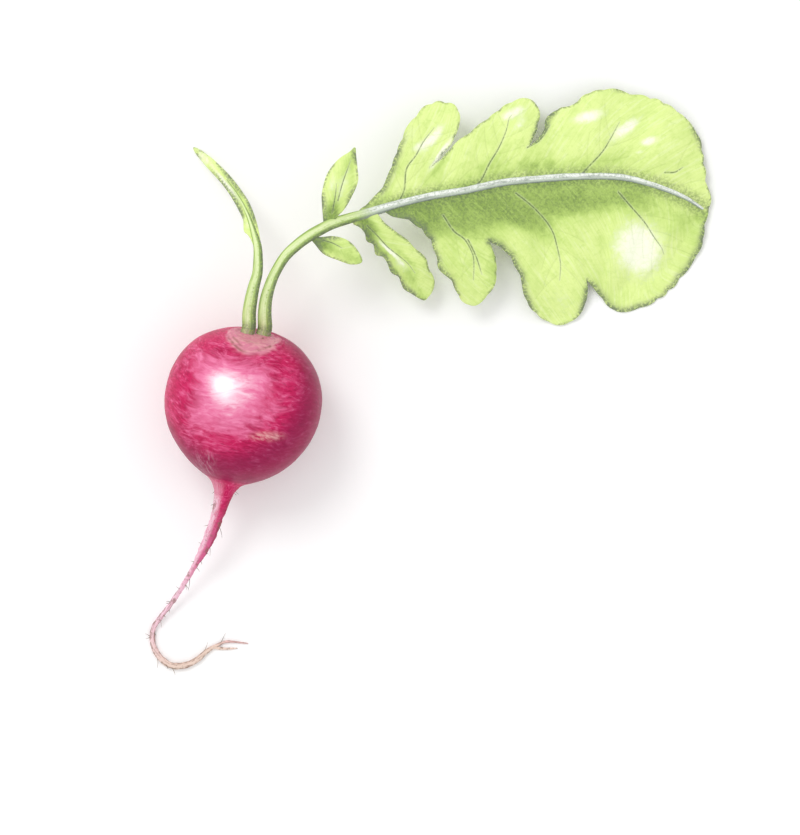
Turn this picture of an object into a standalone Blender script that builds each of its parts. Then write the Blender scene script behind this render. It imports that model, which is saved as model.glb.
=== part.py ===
"""A picked garden radish lying on its side: one round root and the two leaves that grow from its crown.

Metres, +Z up. The origin is the middle of the small flat spot that the bulb rests on, at floor level.
+Y runs from the bulb towards the leaf stalks and +X towards the big lobed leaf. The taproot runs
towards -Y and ends in a hook that lies on the floor. Sizes are in millimetres, meshes in metres.
"""

import math
import random

import bmesh
import bpy
from mathutils import Vector, geometry

MM = 0.001
MERGE_DISTANCE = 1e-6
SPLINE_PARTS = 16

# Bulb: broad in its shoulders, flattened at the crown and a little drawn in below its waist.
BULB_RADIUS = 17.5
BULB_CENTRE = Vector((0.0, 0.0, 17.04))
BULB_HEADING = math.radians(81.0)
BULB_RISE = math.radians(17.0)
BULB_SIDES = 44
BULB_ARC_STEPS = 22
FULLNESS = 1.012
SHOULDER = 0.033
CROWN_DIP = 0.07
CROWN_DIP_REACH = 0.44
HEEL = 0.035
HEEL_REACH = 0.75

# The crown, where the leaves stand, leans towards the big leaf and looks up a little.
CROWN_HEADING = math.radians(77.5)
CROWN_RISE = math.radians(20.0)
CROWN_FLAT = 16.75
CROWN_STEPS = 28
CROWN_CUT_BELOW = 0.4
CROWN_CUT_DEPTH = 6.0
CROWN_CUT_SIDES = 32
STALK_GAP = 0.4

# The taproot leaves the bulb 12.3 degrees off -Y and points down by 8 degrees.
ROOT_HEADING = math.radians(257.7)
ROOT_RISE = math.radians(-8.0)

# Radius of the neck at each distance from the bulb's centre, where the bulb draws in to the taproot.
NECK = [
    (0.0, 12.0), (6.2, 15.4), (5.7, 16.5), (4.4, 17.3), (3.4, 18.2), (2.7, 19.3), (2.25, 20.3), (1.5, 20.9),
    (0.0, 20.9),
]

# Radius from the crown's middle and height above the bulb's centre: a flat disc inside two low leaf scars.
CROWN_PROFILE = [
    (0.0, CROWN_FLAT), (4.7, CROWN_FLAT), (5.1, 17.0), (5.5, 16.95), (5.8, 16.75),
    (6.2, 16.85), (6.7, 16.6), (7.1, 16.0), (6.0, 13.5), (0.0, 12.5),
]

# Taproot: x, y, z of its middle and its radius, from inside the neck to the end of the hook.
TAPROOT = [
    (-3.6, -16.4, 14.7, 2.3), (-4.2, -19.4, 14.1, 2.25), (-4.9, -22.0, 13.2, 1.8),
    (-6.1, -26.0, 11.6, 1.4), (-8.1, -30.9, 9.2, 1.25), (-9.7, -34.0, 7.5, 0.95),
    (-11.0, -36.3, 6.3, 0.65), (-13.0, -39.7, 4.7, 0.58), (-15.8, -44.1, 2.9, 0.55),
    (-18.7, -47.9, 1.5, 0.55), (-20.5, -50.6, 0.8, 0.58), (-20.7, -53.8, 0.68, 0.62),
    (-19.3, -56.9, 0.72, 0.7), (-16.7, -59.0, 0.75, 0.72), (-13.5, -59.1, 0.74, 0.71),
    (-10.5, -57.7, 0.7, 0.66), (-8.2, -55.7, 0.6, 0.55), (-6.0, -54.5, 0.5, 0.42),
    (-3.6, -53.7, 0.42, 0.34), (0.8, -54.1, 0.36, 0.26),
]
ROOT_FORK = [(-7.2, -55.0, 0.55, 0.42), (-4.6, -55.3, 0.42, 0.34), (-1.6, -55.2, 0.36, 0.26)]
TAPROOT_STEP = 1.5
FORK_STEP = 1.2

# Rootlets stand off the taproot: how many, how long, how thick at their foot and at their tip, between
# which shares of its length, and how far each leans along it, rises and bends at its tip.
ROOTLET_COUNT = 18
ROOTLET_LENGTH = (1.6, 3.0)
ROOTLET_RADII = (0.3, 0.16)
ROOTLET_REACH = (0.08, 0.93)
ROOTLET_SPREAD = (0.1, 0.9)
ROOTLET_LEAN = (0.2, 0.9)
ROOTLET_LIFT = (0.0, 0.5)
ROOTLET_BEND = (-0.4, 0.6)
ROOTLET_SEED = 7

# Leaves. A blade sags away from its midrib by its sag at SAG_REACH, and waves along its length.
BLADE_THICKNESS = 0.7
FLOOR_SOFTNESS = 0.5
EDGE_STEP = 1.0
BLADE_GRID = 2.3
GRID_CLEARANCE = 0.55
MIDDLE_STEP = 0.6
SAG_REACH = 20.0
SAG_POWER = 1.5
RIPPLE_REACH = 9.0
RIPPLE_LENGTH = 14.0
RIPPLE_LEFT = 0.8
RIPPLE_RIGHT = 2.6
FINE_RIPPLE_SHARE = 0.5
FINE_RIPPLE_RATE = 1.1

# Teeth round the end blade. They die out towards the ends of each run of its edge, and drift in pitch and
# depth along it.
TOOTH_PITCH = 4.4
TOOTH_DEPTH = 0.42
TOOTH_MIDDLE = 0.6
TOOTH_FADE = 9.0
PITCH_DRIFT = 1.1
PITCH_DRIFT_RATE = 0.37
DEPTH_MIDDLE = 0.85
DEPTH_DRIFT = 0.35
DEPTH_DRIFT_RATE = 0.23

# Where each stalk stands on the crown in plan. Then the lobed leaf: x, y, z and radius of the stalk,
# and of the midrib to the leaf's tip.
LOBED_FOOT = (4.75, 16.1)
NARROW_FOOT = (1.25, 16.6)
FOOT_RADIUS = 1.5
FOOT_RISE = 1.2
LOBED_STALK = [
    (5.0, 20.5, 22.1, 1.42), (5.3, 23.6, 23.0, 1.32), (6.15, 26.7, 23.7, 1.2), (7.4, 29.7, 24.0, 1.14),
    (9.6, 33.3, 24.1, 1.14), (12.5, 36.1, 23.6, 1.18), (15.2, 38.1, 22.6, 1.2), (17.6, 39.5, 21.5, 1.2),
    (20.2, 40.8, 20.2, 1.18), (23.9, 42.0, 18.6, 1.14), (27.0, 42.9, 17.3, 1.08),
]
LOBED_MIDRIB = [
    (34.6, 45.2, 14.8, 1.0), (42.3, 47.1, 12.8, 0.98), (50.0, 48.4, 11.2, 0.95), (57.9, 50.1, 9.8, 0.92),
    (65.7, 51.0, 8.5, 0.88), (76.1, 51.7, 7.2, 0.8), (85.0, 51.6, 6.0, 0.72), (92.3, 50.0, 4.7, 0.62),
    (99.5, 47.3, 2.9, 0.52), (104.2, 44.5, 1.1, 0.42),
]
MIDRIB_SINK = 0.3
LOBED_SAG = 4.2
LOBED_RIPPLE = 0.6

# The big blade's edge, lobe by lobe, from the stalk along its upper side to the tip and back.
FIRST_UPPER_LOBE = [
    (25.2, 42.7), (27.0, 44.4), (29.5, 46.6), (32.2, 50.4), (34.2, 55.5), (36.6, 61.6), (39.2, 65.6),
    (42.3, 68.1), (45.4, 68.5), (48.1, 67.4), (48.9, 64.8), (47.4, 59.8), (42.3, 53.6),
]
SECOND_UPPER_LOBE = [
    (44.7, 55.3), (48.5, 59.4), (55.5, 64.9), (60.0, 68.2), (63.6, 69.3), (66.3, 68.3), (66.9, 65.4),
    (66.2, 62.1), (64.3, 58.0),
]
END_LOBE = [
    (66.4, 59.7), (68.0, 62.0), (68.7, 64.8), (71.4, 67.2), (74.3, 67.7), (77.9, 70.5), (83.2, 71.6),
    (88.2, 70.5), (94.3, 69.0), (99.5, 65.6), (103.1, 61.1), (104.2, 55.9), (105.0, 50.0), (105.9, 46.0),
    (104.7, 41.6), (103.8, 36.1), (101.0, 31.3), (96.8, 26.3), (92.3, 23.1), (88.0, 21.5), (84.0, 21.6),
    (80.9, 24.8), (77.6, 28.8),
]
SECOND_LOWER_LOBE = [
    (78.0, 26.4), (77.4, 22.9), (75.0, 19.4), (71.7, 18.3), (67.8, 19.7), (64.3, 23.3), (63.0, 28.0),
    (60.9, 32.9), (58.3, 35.7), (55.6, 37.0),
]
FIRST_LOWER_LOBE = [
    (57.0, 33.4), (57.2, 29.3), (55.8, 25.4), (52.3, 22.6), (49.4, 23.8), (47.0, 28.2), (44.1, 31.2),
    (43.4, 35.0), (41.2, 38.8), (37.6, 41.6), (33.9, 42.6), (31.0, 43.6), (25.4, 42.2),
]

# Where the blade swells up between its veins: x, y, radius and height of each swelling.
SWELLINGS = [
    (41.0, 61.0, 7.0, 1.1), (57.0, 62.0, 7.0, 1.1), (79.0, 63.0, 8.0, 1.2), (96.0, 58.0, 8.0, 1.2),
    (89.6, 34.0, 9.0, 1.9), (70.5, 27.0, 7.0, 1.4), (51.5, 30.0, 6.0, 1.2),
]
# The blade rises this far from its midrib over this distance, so that the midrib lies in a groove.
GROOVE_DEPTH = 0.9
GROOVE_REACH = 4.0

# Free leaflets on the stalk: a midrib as x, y, z, and an edge from its foot round the tip and back.
UPPER_LEAFLET_MIDRIB = [(19.7, 40.9, 20.4), (20.4, 46.0, 21.8), (22.3, 51.5, 22.2), (25.2, 57.5, 21.0)]
UPPER_LEAFLET_EDGE = [
    (18.3, 40.4), (18.2, 42.4), (18.0, 44.8), (18.0, 47.8), (19.2, 52.0), (21.6, 55.1), (24.2, 56.9),
    (25.3, 57.9), (25.5, 56.2), (25.8, 53.2), (25.9, 50.1), (24.2, 46.2), (22.7, 43.8), (21.3, 42.4),
    (20.6, 41.0),
]
SMALL_LEAFLET_MIDRIB = [(15.1, 38.6, 22.2), (17.6, 36.4, 21.9), (21.6, 35.1, 20.7), (26.7, 32.7, 17.8)]
SMALL_LEAFLET_EDGE = [
    (15.6, 39.0), (17.2, 37.7), (20.3, 37.9), (23.2, 37.2), (25.4, 35.4), (26.9, 32.4), (24.6, 31.7),
    (21.6, 32.6), (18.3, 34.0), (16.2, 36.4), (14.6, 38.2),
]
LONG_LEAFLET_MIDRIB = [
    (26.9, 42.6, 17.0), (29.7, 39.2, 15.6), (33.6, 34.9, 12.9), (37.9, 30.1, 9.6), (40.9, 24.4, 6.0),
]
LONG_LEAFLET_EDGE = [
    (30.2, 43.2), (31.8, 41.2), (33.5, 39.8), (35.4, 38.4), (37.1, 37.2), (38.6, 35.5), (40.0, 34.4),
    (41.3, 33.0), (41.9, 30.8), (42.8, 29.3), (43.2, 27.8), (42.8, 25.9), (41.8, 24.5), (40.7, 23.8),
    (38.0, 25.3), (36.4, 26.3), (35.7, 27.8), (35.1, 29.1), (33.5, 30.0), (32.6, 32.2), (31.6, 33.5),
    (30.0, 34.0), (29.5, 36.2), (28.0, 37.0), (27.6, 38.7), (26.5, 40.0), (24.9, 40.9), (25.2, 42.2),
]
LEAFLET_SAG = 6.0
LEAFLET_RIPPLE = 0.2
LONG_LEAFLET_RIPPLE = 0.5
LEAFLET_GRID = 1.9
LEAFLET_RIB_RADII = (0.62, 0.4)
LEAFLET_RIB_SINK = 0.12

# Narrow young leaf: x, y, z and radius of its stalk and midrib.
NARROW_STALK = [
    (1.5, 20.5, 22.6, 1.42), (1.95, 23.6, 23.6, 1.36), (2.6, 26.6, 24.1, 1.24),
    (3.4, 29.6, 24.1, 1.12), (3.55, 32.6, 23.3, 1.04), (3.4, 35.7, 21.9, 0.95),
]
NARROW_MIDRIB = [
    (2.6, 38.7, 20.0, 0.8), (1.6, 41.7, 17.6, 0.7), (0.3, 44.7, 14.8, 0.64), (-1.5, 47.7, 11.6, 0.58),
    (-3.8, 50.8, 8.0, 0.52), (-6.3, 53.5, 4.6, 0.46), (-8.7, 55.9, 1.4, 0.42), (-11.7, 58.7, -1.6, 0.38),
]
# The narrow blade's half width at each share of its midrib's length, and its small lobe on the outer side.
NARROW_HALF_WIDTHS = [
    (0.0, 0.7), (0.1, 1.05), (0.22, 1.27), (0.36, 1.4), (0.5, 1.28), (0.66, 1.2), (0.8, 1.1), (0.92, 0.75),
    (1.0, 0.1),
]
NARROW_LOBE = (0.16, 0.05, 0.8)
NARROW_MIDDLE_STEP = 0.4
NARROW_BLADE_STEPS = 26
NARROW_GRID = 1.1

STALK_STEP = 1.7
MIDRIB_STEP = 2.1

# Colour, roughness
RADISH_SKIN = ((0.58, 0.055, 0.15), 0.32)
LEAF_GREEN = ((0.55, 0.78, 0.24), 0.5)
YOUNG_LEAF_GREEN = ((0.46, 0.66, 0.24), 0.5)


def heading(turn, rise):
    """Unit vector at an angle in plan from +X and an angle up from the floor."""
    return Vector((math.cos(turn) * math.cos(rise), math.sin(turn) * math.cos(rise), math.sin(rise)))


def distances(points):
    """Running length along a row of points, in their first three numbers."""
    total = [0.0]
    for before, after in zip(points, points[1:]):
        total.append(total[-1] + (Vector(after[:3]) - Vector(before[:3])).length)
    return total


def interpolate(stations, values, at):
    """Value at one station by straight lines between the given ones."""
    if at <= stations[0]:
        return values[0]
    for index in range(1, len(stations)):
        if at <= stations[index]:
            share = (at - stations[index - 1]) / max(stations[index] - stations[index - 1], 1e-9)
            return values[index - 1] + (values[index] - values[index - 1]) * share
    return values[-1]


def smooth_run(points, step):
    """Evenly spaced points on a smooth curve through the given ones, both ends kept."""
    knots = [Vector(point) for point in points]
    knots = [knots[0] * 2 - knots[1]] + knots + [knots[-1] * 2 - knots[-2]]
    fine = []
    for a, b, c, d in zip(knots, knots[1:], knots[2:], knots[3:]):
        for part in range(SPLINE_PARTS):
            t = part / SPLINE_PARTS
            square = (a * 2 - b * 5 + c * 4 - d) * t**2
            cube = (b * 3 - a - c * 3 + d) * t**3
            fine.append((b * 2 + (c - a) * t + square + cube) * 0.5)
    fine.append(knots[-2])
    along = distances(fine)
    count = max(2, round(along[-1] / step))
    return [interpolate(along, fine, along[-1] * index / count) for index in range(count + 1)]


def toothed(run):
    """A run of edge points with rounded uneven teeth along it, none at its ends."""
    along = distances(run)
    result = [run[0]]
    for index in range(1, len(run) - 1):
        at = along[index]
        tangent = (run[index + 1] - run[index - 1]).normalized()
        outward = Vector((-tangent.y, tangent.x))
        fade = min(1.0, at / TOOTH_FADE, (along[-1] - at) / TOOTH_FADE)
        drifted = at + PITCH_DRIFT * math.sin(at * PITCH_DRIFT_RATE)
        tooth = abs(math.sin(math.pi * drifted / TOOTH_PITCH)) - TOOTH_MIDDLE
        tooth *= DEPTH_MIDDLE + DEPTH_DRIFT * math.sin(at * DEPTH_DRIFT_RATE + 1.0)
        result.append(run[index] + outward * (TOOTH_DEPTH * tooth * fade))
    result.append(run[-1])
    return result


def outline(runs, teeth):
    """One closed edge from runs that are smooth in themselves and meet in notches."""
    edge = []
    for run in runs:
        points = smooth_run(run, EDGE_STEP)
        if teeth:
            points = toothed(points)
        edge.extend(points)
    return edge


def inside(point, edge):
    """Whether a point in plan lies inside a closed edge."""
    hit = False
    for a, b in zip(edge, edge[1:] + edge[:1]):
        if (a.y > point.y) != (b.y > point.y):
            if point.x < (b.x - a.x) * (point.y - a.y) / (b.y - a.y) + a.x:
                hit = not hit
    return hit


def pattern(edge, grid):
    """Points and triangles of a flat blade: its edge, and a honeycomb of points inside it."""
    low = Vector((min(p.x for p in edge), min(p.y for p in edge)))
    high = Vector((max(p.x for p in edge), max(p.y for p in edge)))
    fill = []
    row = 0
    y = low.y
    while y < high.y:
        x = low.x + (grid / 2 if row % 2 else 0.0)
        while x < high.x:
            spot = Vector((x, y))
            if inside(spot, edge) and min((spot - p).length for p in edge) > grid * GRID_CLEARANCE:
                fill.append(spot)
            x += grid
        y += grid * math.sqrt(0.75)
        row += 1
    count = len(edge)
    ring = [(index, (index + 1) % count) for index in range(count)]
    points, _, faces, _, _, _ = geometry.delaunay_2d_cdt(edge + fill, ring, [], 1, 1e-5)
    return points, [face for face in faces if len(face) == 3]


class Bend:
    """How a flat blade hangs in space: it follows its midrib, sags to both sides and settles on the floor."""

    def __init__(self, midrib, sag, ripple, groove=0.0, swellings=()):
        self.line = smooth_run([point[:3] for point in midrib], MIDDLE_STEP)
        self.along = distances(self.line)
        self.sag = sag
        self.ripple = ripple
        self.groove = groove
        self.swellings = swellings

    def height(self, spot):
        """Height of the middle of the blade over one point in plan."""
        nearest = min(range(len(self.line)), key=lambda index: (self.line[index].xy - spot).length_squared)
        foot = self.line[nearest]
        ahead = self.line[min(nearest + 1, len(self.line) - 1)] - self.line[max(nearest - 1, 0)]
        offset = spot - foot.xy
        across = math.copysign(offset.length, ahead.x * offset.y - ahead.y * offset.x)
        along = self.along[nearest]
        height = foot.z - self.sag * (abs(across) / SAG_REACH) ** SAG_POWER
        height += self.groove * (1 - math.exp(-((across / GROOVE_REACH) ** 2)))
        phase = RIPPLE_LEFT if across > 0 else RIPPLE_RIGHT
        wave = math.sin(along * math.tau / RIPPLE_LENGTH + phase)
        wave += FINE_RIPPLE_SHARE * math.sin(along * FINE_RIPPLE_RATE)
        wave *= self.ripple * min(1.0, abs(across) / RIPPLE_REACH)
        for x, y, radius, rise in self.swellings:
            wave += rise * math.exp(-(((spot.x - x) ** 2 + (spot.y - y) ** 2) / radius**2))
        return settle(height + wave)


def settle(height):
    """Height of a sheet's middle once the floor holds it up."""
    above = height - BLADE_THICKNESS / 2
    return BLADE_THICKNESS / 2 + 0.5 * (above + math.sqrt(above**2 + FLOOR_SOFTNESS**2))


def add_object(name, mesh):
    """A new object in the scene with its place in its mesh."""
    made = bpy.data.objects.new(name, mesh)
    bpy.context.scene.collection.objects.link(made)
    return made


def evaluated_copy(source):
    """A plain mesh object of what a curve or a modified mesh shows, with its doubles merged."""
    graph = bpy.context.evaluated_depsgraph_get()
    mesh = bpy.data.meshes.new_from_object(source.evaluated_get(graph))
    mesh.transform(source.matrix_world)
    shape = bmesh.new()
    shape.from_mesh(mesh)
    bmesh.ops.remove_doubles(shape, verts=shape.verts, dist=MERGE_DISTANCE)
    bmesh.ops.triangulate(shape, faces=shape.faces)
    shape.to_mesh(mesh)
    shape.free()
    made = add_object(source.name + "_mesh", mesh)
    bpy.data.objects.remove(source)
    return made


def tube(name, path, sides_step=3):
    """A round tube with closed ends along x, y, z, radius points. It has four sides and two per step."""
    curve = bpy.data.curves.new(name, "CURVE")
    curve.dimensions = "3D"
    curve.bevel_depth = MM
    curve.bevel_resolution = sides_step
    curve.use_fill_caps = True
    spline = curve.splines.new("POLY")
    spline.points.add(len(path) - 1)
    for knot, point in zip(spline.points, path):
        knot.co = (point[0] * MM, point[1] * MM, point[2] * MM, 1.0)
        knot.radius = point[3]
    return evaluated_copy(add_object(name, curve))


def turned(name, profile, direction, sides):
    """A solid turned about a line through the bulb's centre, from radius and height points."""
    mesh = bpy.data.meshes.new(name)
    points = [(radius * MM, 0.0, height * MM) for radius, height in profile]
    mesh.from_pydata(points, [(index, index + 1) for index in range(len(points) - 1)], [])
    made = add_object(name, mesh)
    screw = made.modifiers.new("Turn", "SCREW")
    screw.axis = "Z"
    screw.steps = sides
    screw.render_steps = sides
    screw.use_merge_vertices = True
    screw.merge_threshold = MERGE_DISTANCE
    made.location = BULB_CENTRE * MM
    made.rotation_mode = "QUATERNION"
    made.rotation_quaternion = direction.to_track_quat("Z", "Y")
    bpy.context.view_layer.update()
    return evaluated_copy(made)


def blade(name, edge, grid, bend):
    """A thin curved blade from its edge in plan, alike in triangles on both faces."""
    points, faces = pattern(edge, grid)
    mesh = bpy.data.meshes.new(name)
    mesh.from_pydata([(p.x * MM, p.y * MM, bend.height(p) * MM) for p in points], [], faces)
    made = add_object(name, mesh)
    wall = made.modifiers.new("Thickness", "SOLIDIFY")
    wall.thickness = BLADE_THICKNESS * MM
    wall.offset = 0.0
    return evaluated_copy(made)


def join(name, pieces, material):
    """One body out of overlapping pieces, by one Boolean union on their collection."""
    body = pieces[0]
    body.name = name
    body.data.name = name
    others = bpy.data.collections.new(name + "_pieces")
    bpy.context.scene.collection.children.link(others)
    for piece in pieces[1:]:
        bpy.context.scene.collection.objects.unlink(piece)
        others.objects.link(piece)
    union = body.modifiers.new("Union", "BOOLEAN")
    union.operation = "UNION"
    union.operand_type = "COLLECTION"
    union.collection = others
    union.solver = "EXACT"
    graph = bpy.context.evaluated_depsgraph_get()
    joined = bpy.data.meshes.new_from_object(body.evaluated_get(graph))
    body.modifiers.clear()
    body.data = joined
    for piece in list(others.objects):
        bpy.data.objects.remove(piece)
    bpy.data.collections.remove(others)
    joined.materials.clear()
    joined.materials.append(material)
    return body


def finish(name, colour, roughness):
    """A Principled material of one colour."""
    material = bpy.data.materials.new(name)
    material.use_nodes = True
    shader = material.node_tree.nodes["Principled BSDF"]
    shader.inputs["Base Color"].default_value = (*colour, 1.0)
    shader.inputs["Roughness"].default_value = roughness
    shader.inputs["Metallic"].default_value = 0.0
    return material


def bulb():
    """The round root itself, turned about a line between its crown and its tail."""
    arc = [math.pi * index / BULB_ARC_STEPS for index in range(BULB_ARC_STEPS + 1)]
    profile = []
    for angle in arc:
        reach = FULLNESS + SHOULDER * math.sin(2 * angle)
        reach -= CROWN_DIP * math.exp(-((angle / CROWN_DIP_REACH) ** 2))
        reach += HEEL * math.exp(-(((math.pi - angle) / HEEL_REACH) ** 2))
        reach *= BULB_RADIUS
        profile.append((reach * abs(math.sin(angle)), reach * math.cos(angle)))
    profile[0] = (0.0, profile[0][1])
    profile[-1] = (0.0, profile[-1][1])
    return turned("bulb", profile, heading(BULB_HEADING, BULB_RISE), BULB_SIDES)


def neck():
    """Where the bulb draws in to its taproot."""
    profile = [(radius, -distance) for radius, distance in NECK]
    return turned("neck", profile, -heading(ROOT_HEADING, ROOT_RISE), CROWN_STEPS)


def stalk_foot(spot):
    """The first two points of a stalk, square to the crown's flat and just clear of it."""
    out = heading(CROWN_HEADING, CROWN_RISE)
    level = CROWN_FLAT + STALK_GAP
    height = BULB_CENTRE.z + (level - out.x * spot[0] - out.y * spot[1]) / out.z
    foot = Vector((*spot, height))
    return [(*foot, FOOT_RADIUS), (*(foot + out * FOOT_RISE), FOOT_RADIUS)]


def rootlets(route):
    """Short hairs that stand off the taproot at drawn places, on either side of it and never downwards."""
    draw = random.Random(ROOTLET_SEED)
    made = []
    for index in range(ROOTLET_COUNT):
        first, last = ROOTLET_REACH
        share = first + (last - first) * (index + draw.uniform(*ROOTLET_SPREAD)) / ROOTLET_COUNT
        station = min(int(share * (len(route) - 1)), len(route) - 2)
        foot = route[station]
        ahead = (route[station + 1] - foot).xyz.normalized()
        side = ahead.cross(Vector((0, 0, 1))).normalized() * (1 if index % 2 else -1)
        way = side + ahead * draw.uniform(*ROOTLET_LEAN)
        way.z += draw.uniform(*ROOTLET_LIFT)
        way.normalize()
        length = draw.uniform(*ROOTLET_LENGTH)
        middle = foot.xyz + way * (foot.w + length * 0.5)
        tip = foot.xyz + way * (foot.w + length) + ahead * draw.uniform(*ROOTLET_BEND)
        thick, thin = ROOTLET_RADII
        path = [(*foot.xyz, thick), (*middle, (thick + thin) / 2), (*tip, thin)]
        made.append(tube("rootlet", path, 0))
    return made


def rest_spot_cutter(collection):
    """The block that takes the bulb's underside off at floor level."""
    bpy.ops.mesh.primitive_cube_add(size=2 * BULB_RADIUS * MM, location=(0, 0, -BULB_RADIUS * MM))
    cutter = bpy.context.object
    cutter.name = "rest_spot_cutter"
    for other in list(cutter.users_collection):
        other.objects.unlink(cutter)
    collection.objects.link(cutter)
    cutter.hide_render = True
    cutter.display_type = "WIRE"
    return cutter


def swollen_root(cutters):
    """Bulb, crown, taproot, its fork and its rootlets, grown as one piece."""
    route = smooth_run(TAPROOT, TAPROOT_STEP)
    crown = turned("crown", CROWN_PROFILE, heading(CROWN_HEADING, CROWN_RISE), CROWN_STEPS)
    taproot = tube("taproot", route)
    fork = tube("fork", smooth_run(ROOT_FORK, FORK_STEP), 2)
    body = bulb()
    cut_crown(body, cutters)
    pieces = [body, neck(), crown, taproot, fork, *rootlets(route)]
    made = join("swollen_root", pieces, finish("radish_skin", *RADISH_SKIN))
    flat = made.modifiers.new("Rest spot", "BOOLEAN")
    flat.operation = "DIFFERENCE"
    flat.object = rest_spot_cutter(cutters)
    flat.solver = "EXACT"
    return made


def cut_crown(body, cutters):
    """Takes the bulb's cap off square to the crown's direction, just under the crown's flat."""
    direction = heading(CROWN_HEADING, CROWN_RISE)
    middle = CROWN_FLAT - CROWN_CUT_BELOW + CROWN_CUT_DEPTH / 2
    bpy.ops.mesh.primitive_cylinder_add(
        vertices=CROWN_CUT_SIDES, radius=BULB_RADIUS * MM, depth=CROWN_CUT_DEPTH * MM
    )
    cutter = bpy.context.object
    cutter.name = "crown_cutter"
    cutter.location = (BULB_CENTRE + direction * middle) * MM
    cutter.rotation_mode = "QUATERNION"
    cutter.rotation_quaternion = direction.to_track_quat("Z", "Y")
    for other in list(cutter.users_collection):
        other.objects.unlink(cutter)
    cutters.objects.link(cutter)
    cut = body.modifiers.new("Crown flat", "BOOLEAN")
    cut.operation = "DIFFERENCE"
    cut.object = cutter
    cut.solver = "EXACT"
    bpy.context.view_layer.update()
    graph = bpy.context.evaluated_depsgraph_get()
    body.data = bpy.data.meshes.new_from_object(body.evaluated_get(graph))
    body.modifiers.clear()
    bpy.data.objects.remove(cutter)


def leaflet(name, midrib, edge, ripple):
    """A free leaflet and the rib under it, which ties it into the stalk."""
    points = smooth_run(midrib, MIDRIB_STEP)
    thick, thin = LEAFLET_RIB_RADII
    rib = []
    for index, point in enumerate(points[:-1]):
        share = index / (len(points) - 1)
        rib.append((point.x, point.y, point.z - LEAFLET_RIB_SINK, thick + (thin - thick) * share))
    sheet = blade(name, outline([edge], False), LEAFLET_GRID, Bend(midrib, LEAFLET_SAG, ripple))
    return [sheet, tube(name + "_rib", rib, 2)]


def lobed_leaf():
    """The big leaf: its stalk and midrib, the lobed end blade and three free leaflets."""
    stalk = smooth_run(stalk_foot(LOBED_FOOT) + LOBED_STALK + LOBED_MIDRIB, STALK_STEP)
    start = LOBED_STALK[-1][0]
    ribbed = [(p[0], p[1], p[2] - (MIDRIB_SINK if p[0] > start else 0.0), p[3]) for p in stalk]
    runs = [FIRST_UPPER_LOBE, SECOND_UPPER_LOBE, END_LOBE, SECOND_LOWER_LOBE, FIRST_LOWER_LOBE]
    midrib = [LOBED_STALK[-2], LOBED_STALK[-1], *LOBED_MIDRIB]
    bend = Bend(midrib, LOBED_SAG, LOBED_RIPPLE, GROOVE_DEPTH, SWELLINGS)
    pieces = [
        tube("stalk", ribbed),
        blade("end_blade", outline(runs, True), BLADE_GRID, bend),
        *leaflet("upper_leaflet", UPPER_LEAFLET_MIDRIB, UPPER_LEAFLET_EDGE, LEAFLET_RIPPLE),
        *leaflet("small_leaflet", SMALL_LEAFLET_MIDRIB, SMALL_LEAFLET_EDGE, LEAFLET_RIPPLE),
        *leaflet("long_leaflet", LONG_LEAFLET_MIDRIB, LONG_LEAFLET_EDGE, LONG_LEAFLET_RIPPLE),
    ]
    return join("lobed_leaf", pieces, finish("leaf", *LEAF_GREEN))


def narrow_leaf():
    """The young leaf: a thin stalk that widens into a strap-shaped blade, its tip on the floor."""
    midrib = [NARROW_STALK[-1], *NARROW_MIDRIB]
    middle = [Vector(point[:2]) for point in smooth_run(midrib, NARROW_MIDDLE_STEP)]
    shares = [share for share, _ in NARROW_HALF_WIDTHS]
    widths = [width for _, width in NARROW_HALF_WIDTHS]
    lobe_at, lobe_reach, lobe_width = NARROW_LOBE
    left, right = [], []
    for index in range(NARROW_BLADE_STEPS + 1):
        share = index / NARROW_BLADE_STEPS
        at = min(int(share * (len(middle) - 1)), len(middle) - 2)
        ahead = (middle[at + 1] - middle[at]).normalized()
        out = Vector((-ahead.y, ahead.x))
        width = interpolate(shares, widths, share)
        lobe = lobe_width * math.exp(-(((share - lobe_at) / lobe_reach) ** 2))
        left.append(middle[at] + out * (width + lobe))
        right.append(middle[at] - out * width)
    sheet = blade("strap", left + right[::-1], NARROW_GRID, Bend(midrib, 0.0, 0.0))
    stalk = smooth_run(stalk_foot(NARROW_FOOT) + NARROW_STALK + NARROW_MIDRIB[:-1], STALK_STEP)
    return join("narrow_leaf", [tube("young_stalk", stalk), sheet], finish("young_leaf", *YOUNG_LEAF_GREEN))


def main():
    for old in list(bpy.data.objects):
        bpy.data.objects.remove(old)
    radish = bpy.data.collections.new("radish")
    cutters = bpy.data.collections.new("cutters")
    bpy.context.scene.collection.children.link(radish)
    bpy.context.scene.collection.children.link(cutters)
    for made in (swollen_root(cutters), lobed_leaf(), narrow_leaf()):
        made.data.shade_smooth()
        bpy.context.scene.collection.objects.unlink(made)
        radish.objects.link(made)


main()
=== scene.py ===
"""The looks of a picked garden radish that lies on its side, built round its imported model.

The origin is the middle of the flat spot under the bulb, at floor level. +Y runs towards the leaf stalks,
+X towards the big lobed leaf and +Z up to the camera. Sizes in the code are in millimetres and meshes are in
metres. The sizes that the solids also have are the same values as in the part's own source.
"""

import logging
import math
import random
from dataclasses import dataclass, field
from enum import Enum
from typing import Any

import bmesh
import bpy
import numpy as np
from bpy.types import Material, Mesh, Node, NodeSocket, NodeTree
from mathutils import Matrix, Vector, geometry, noise

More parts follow.
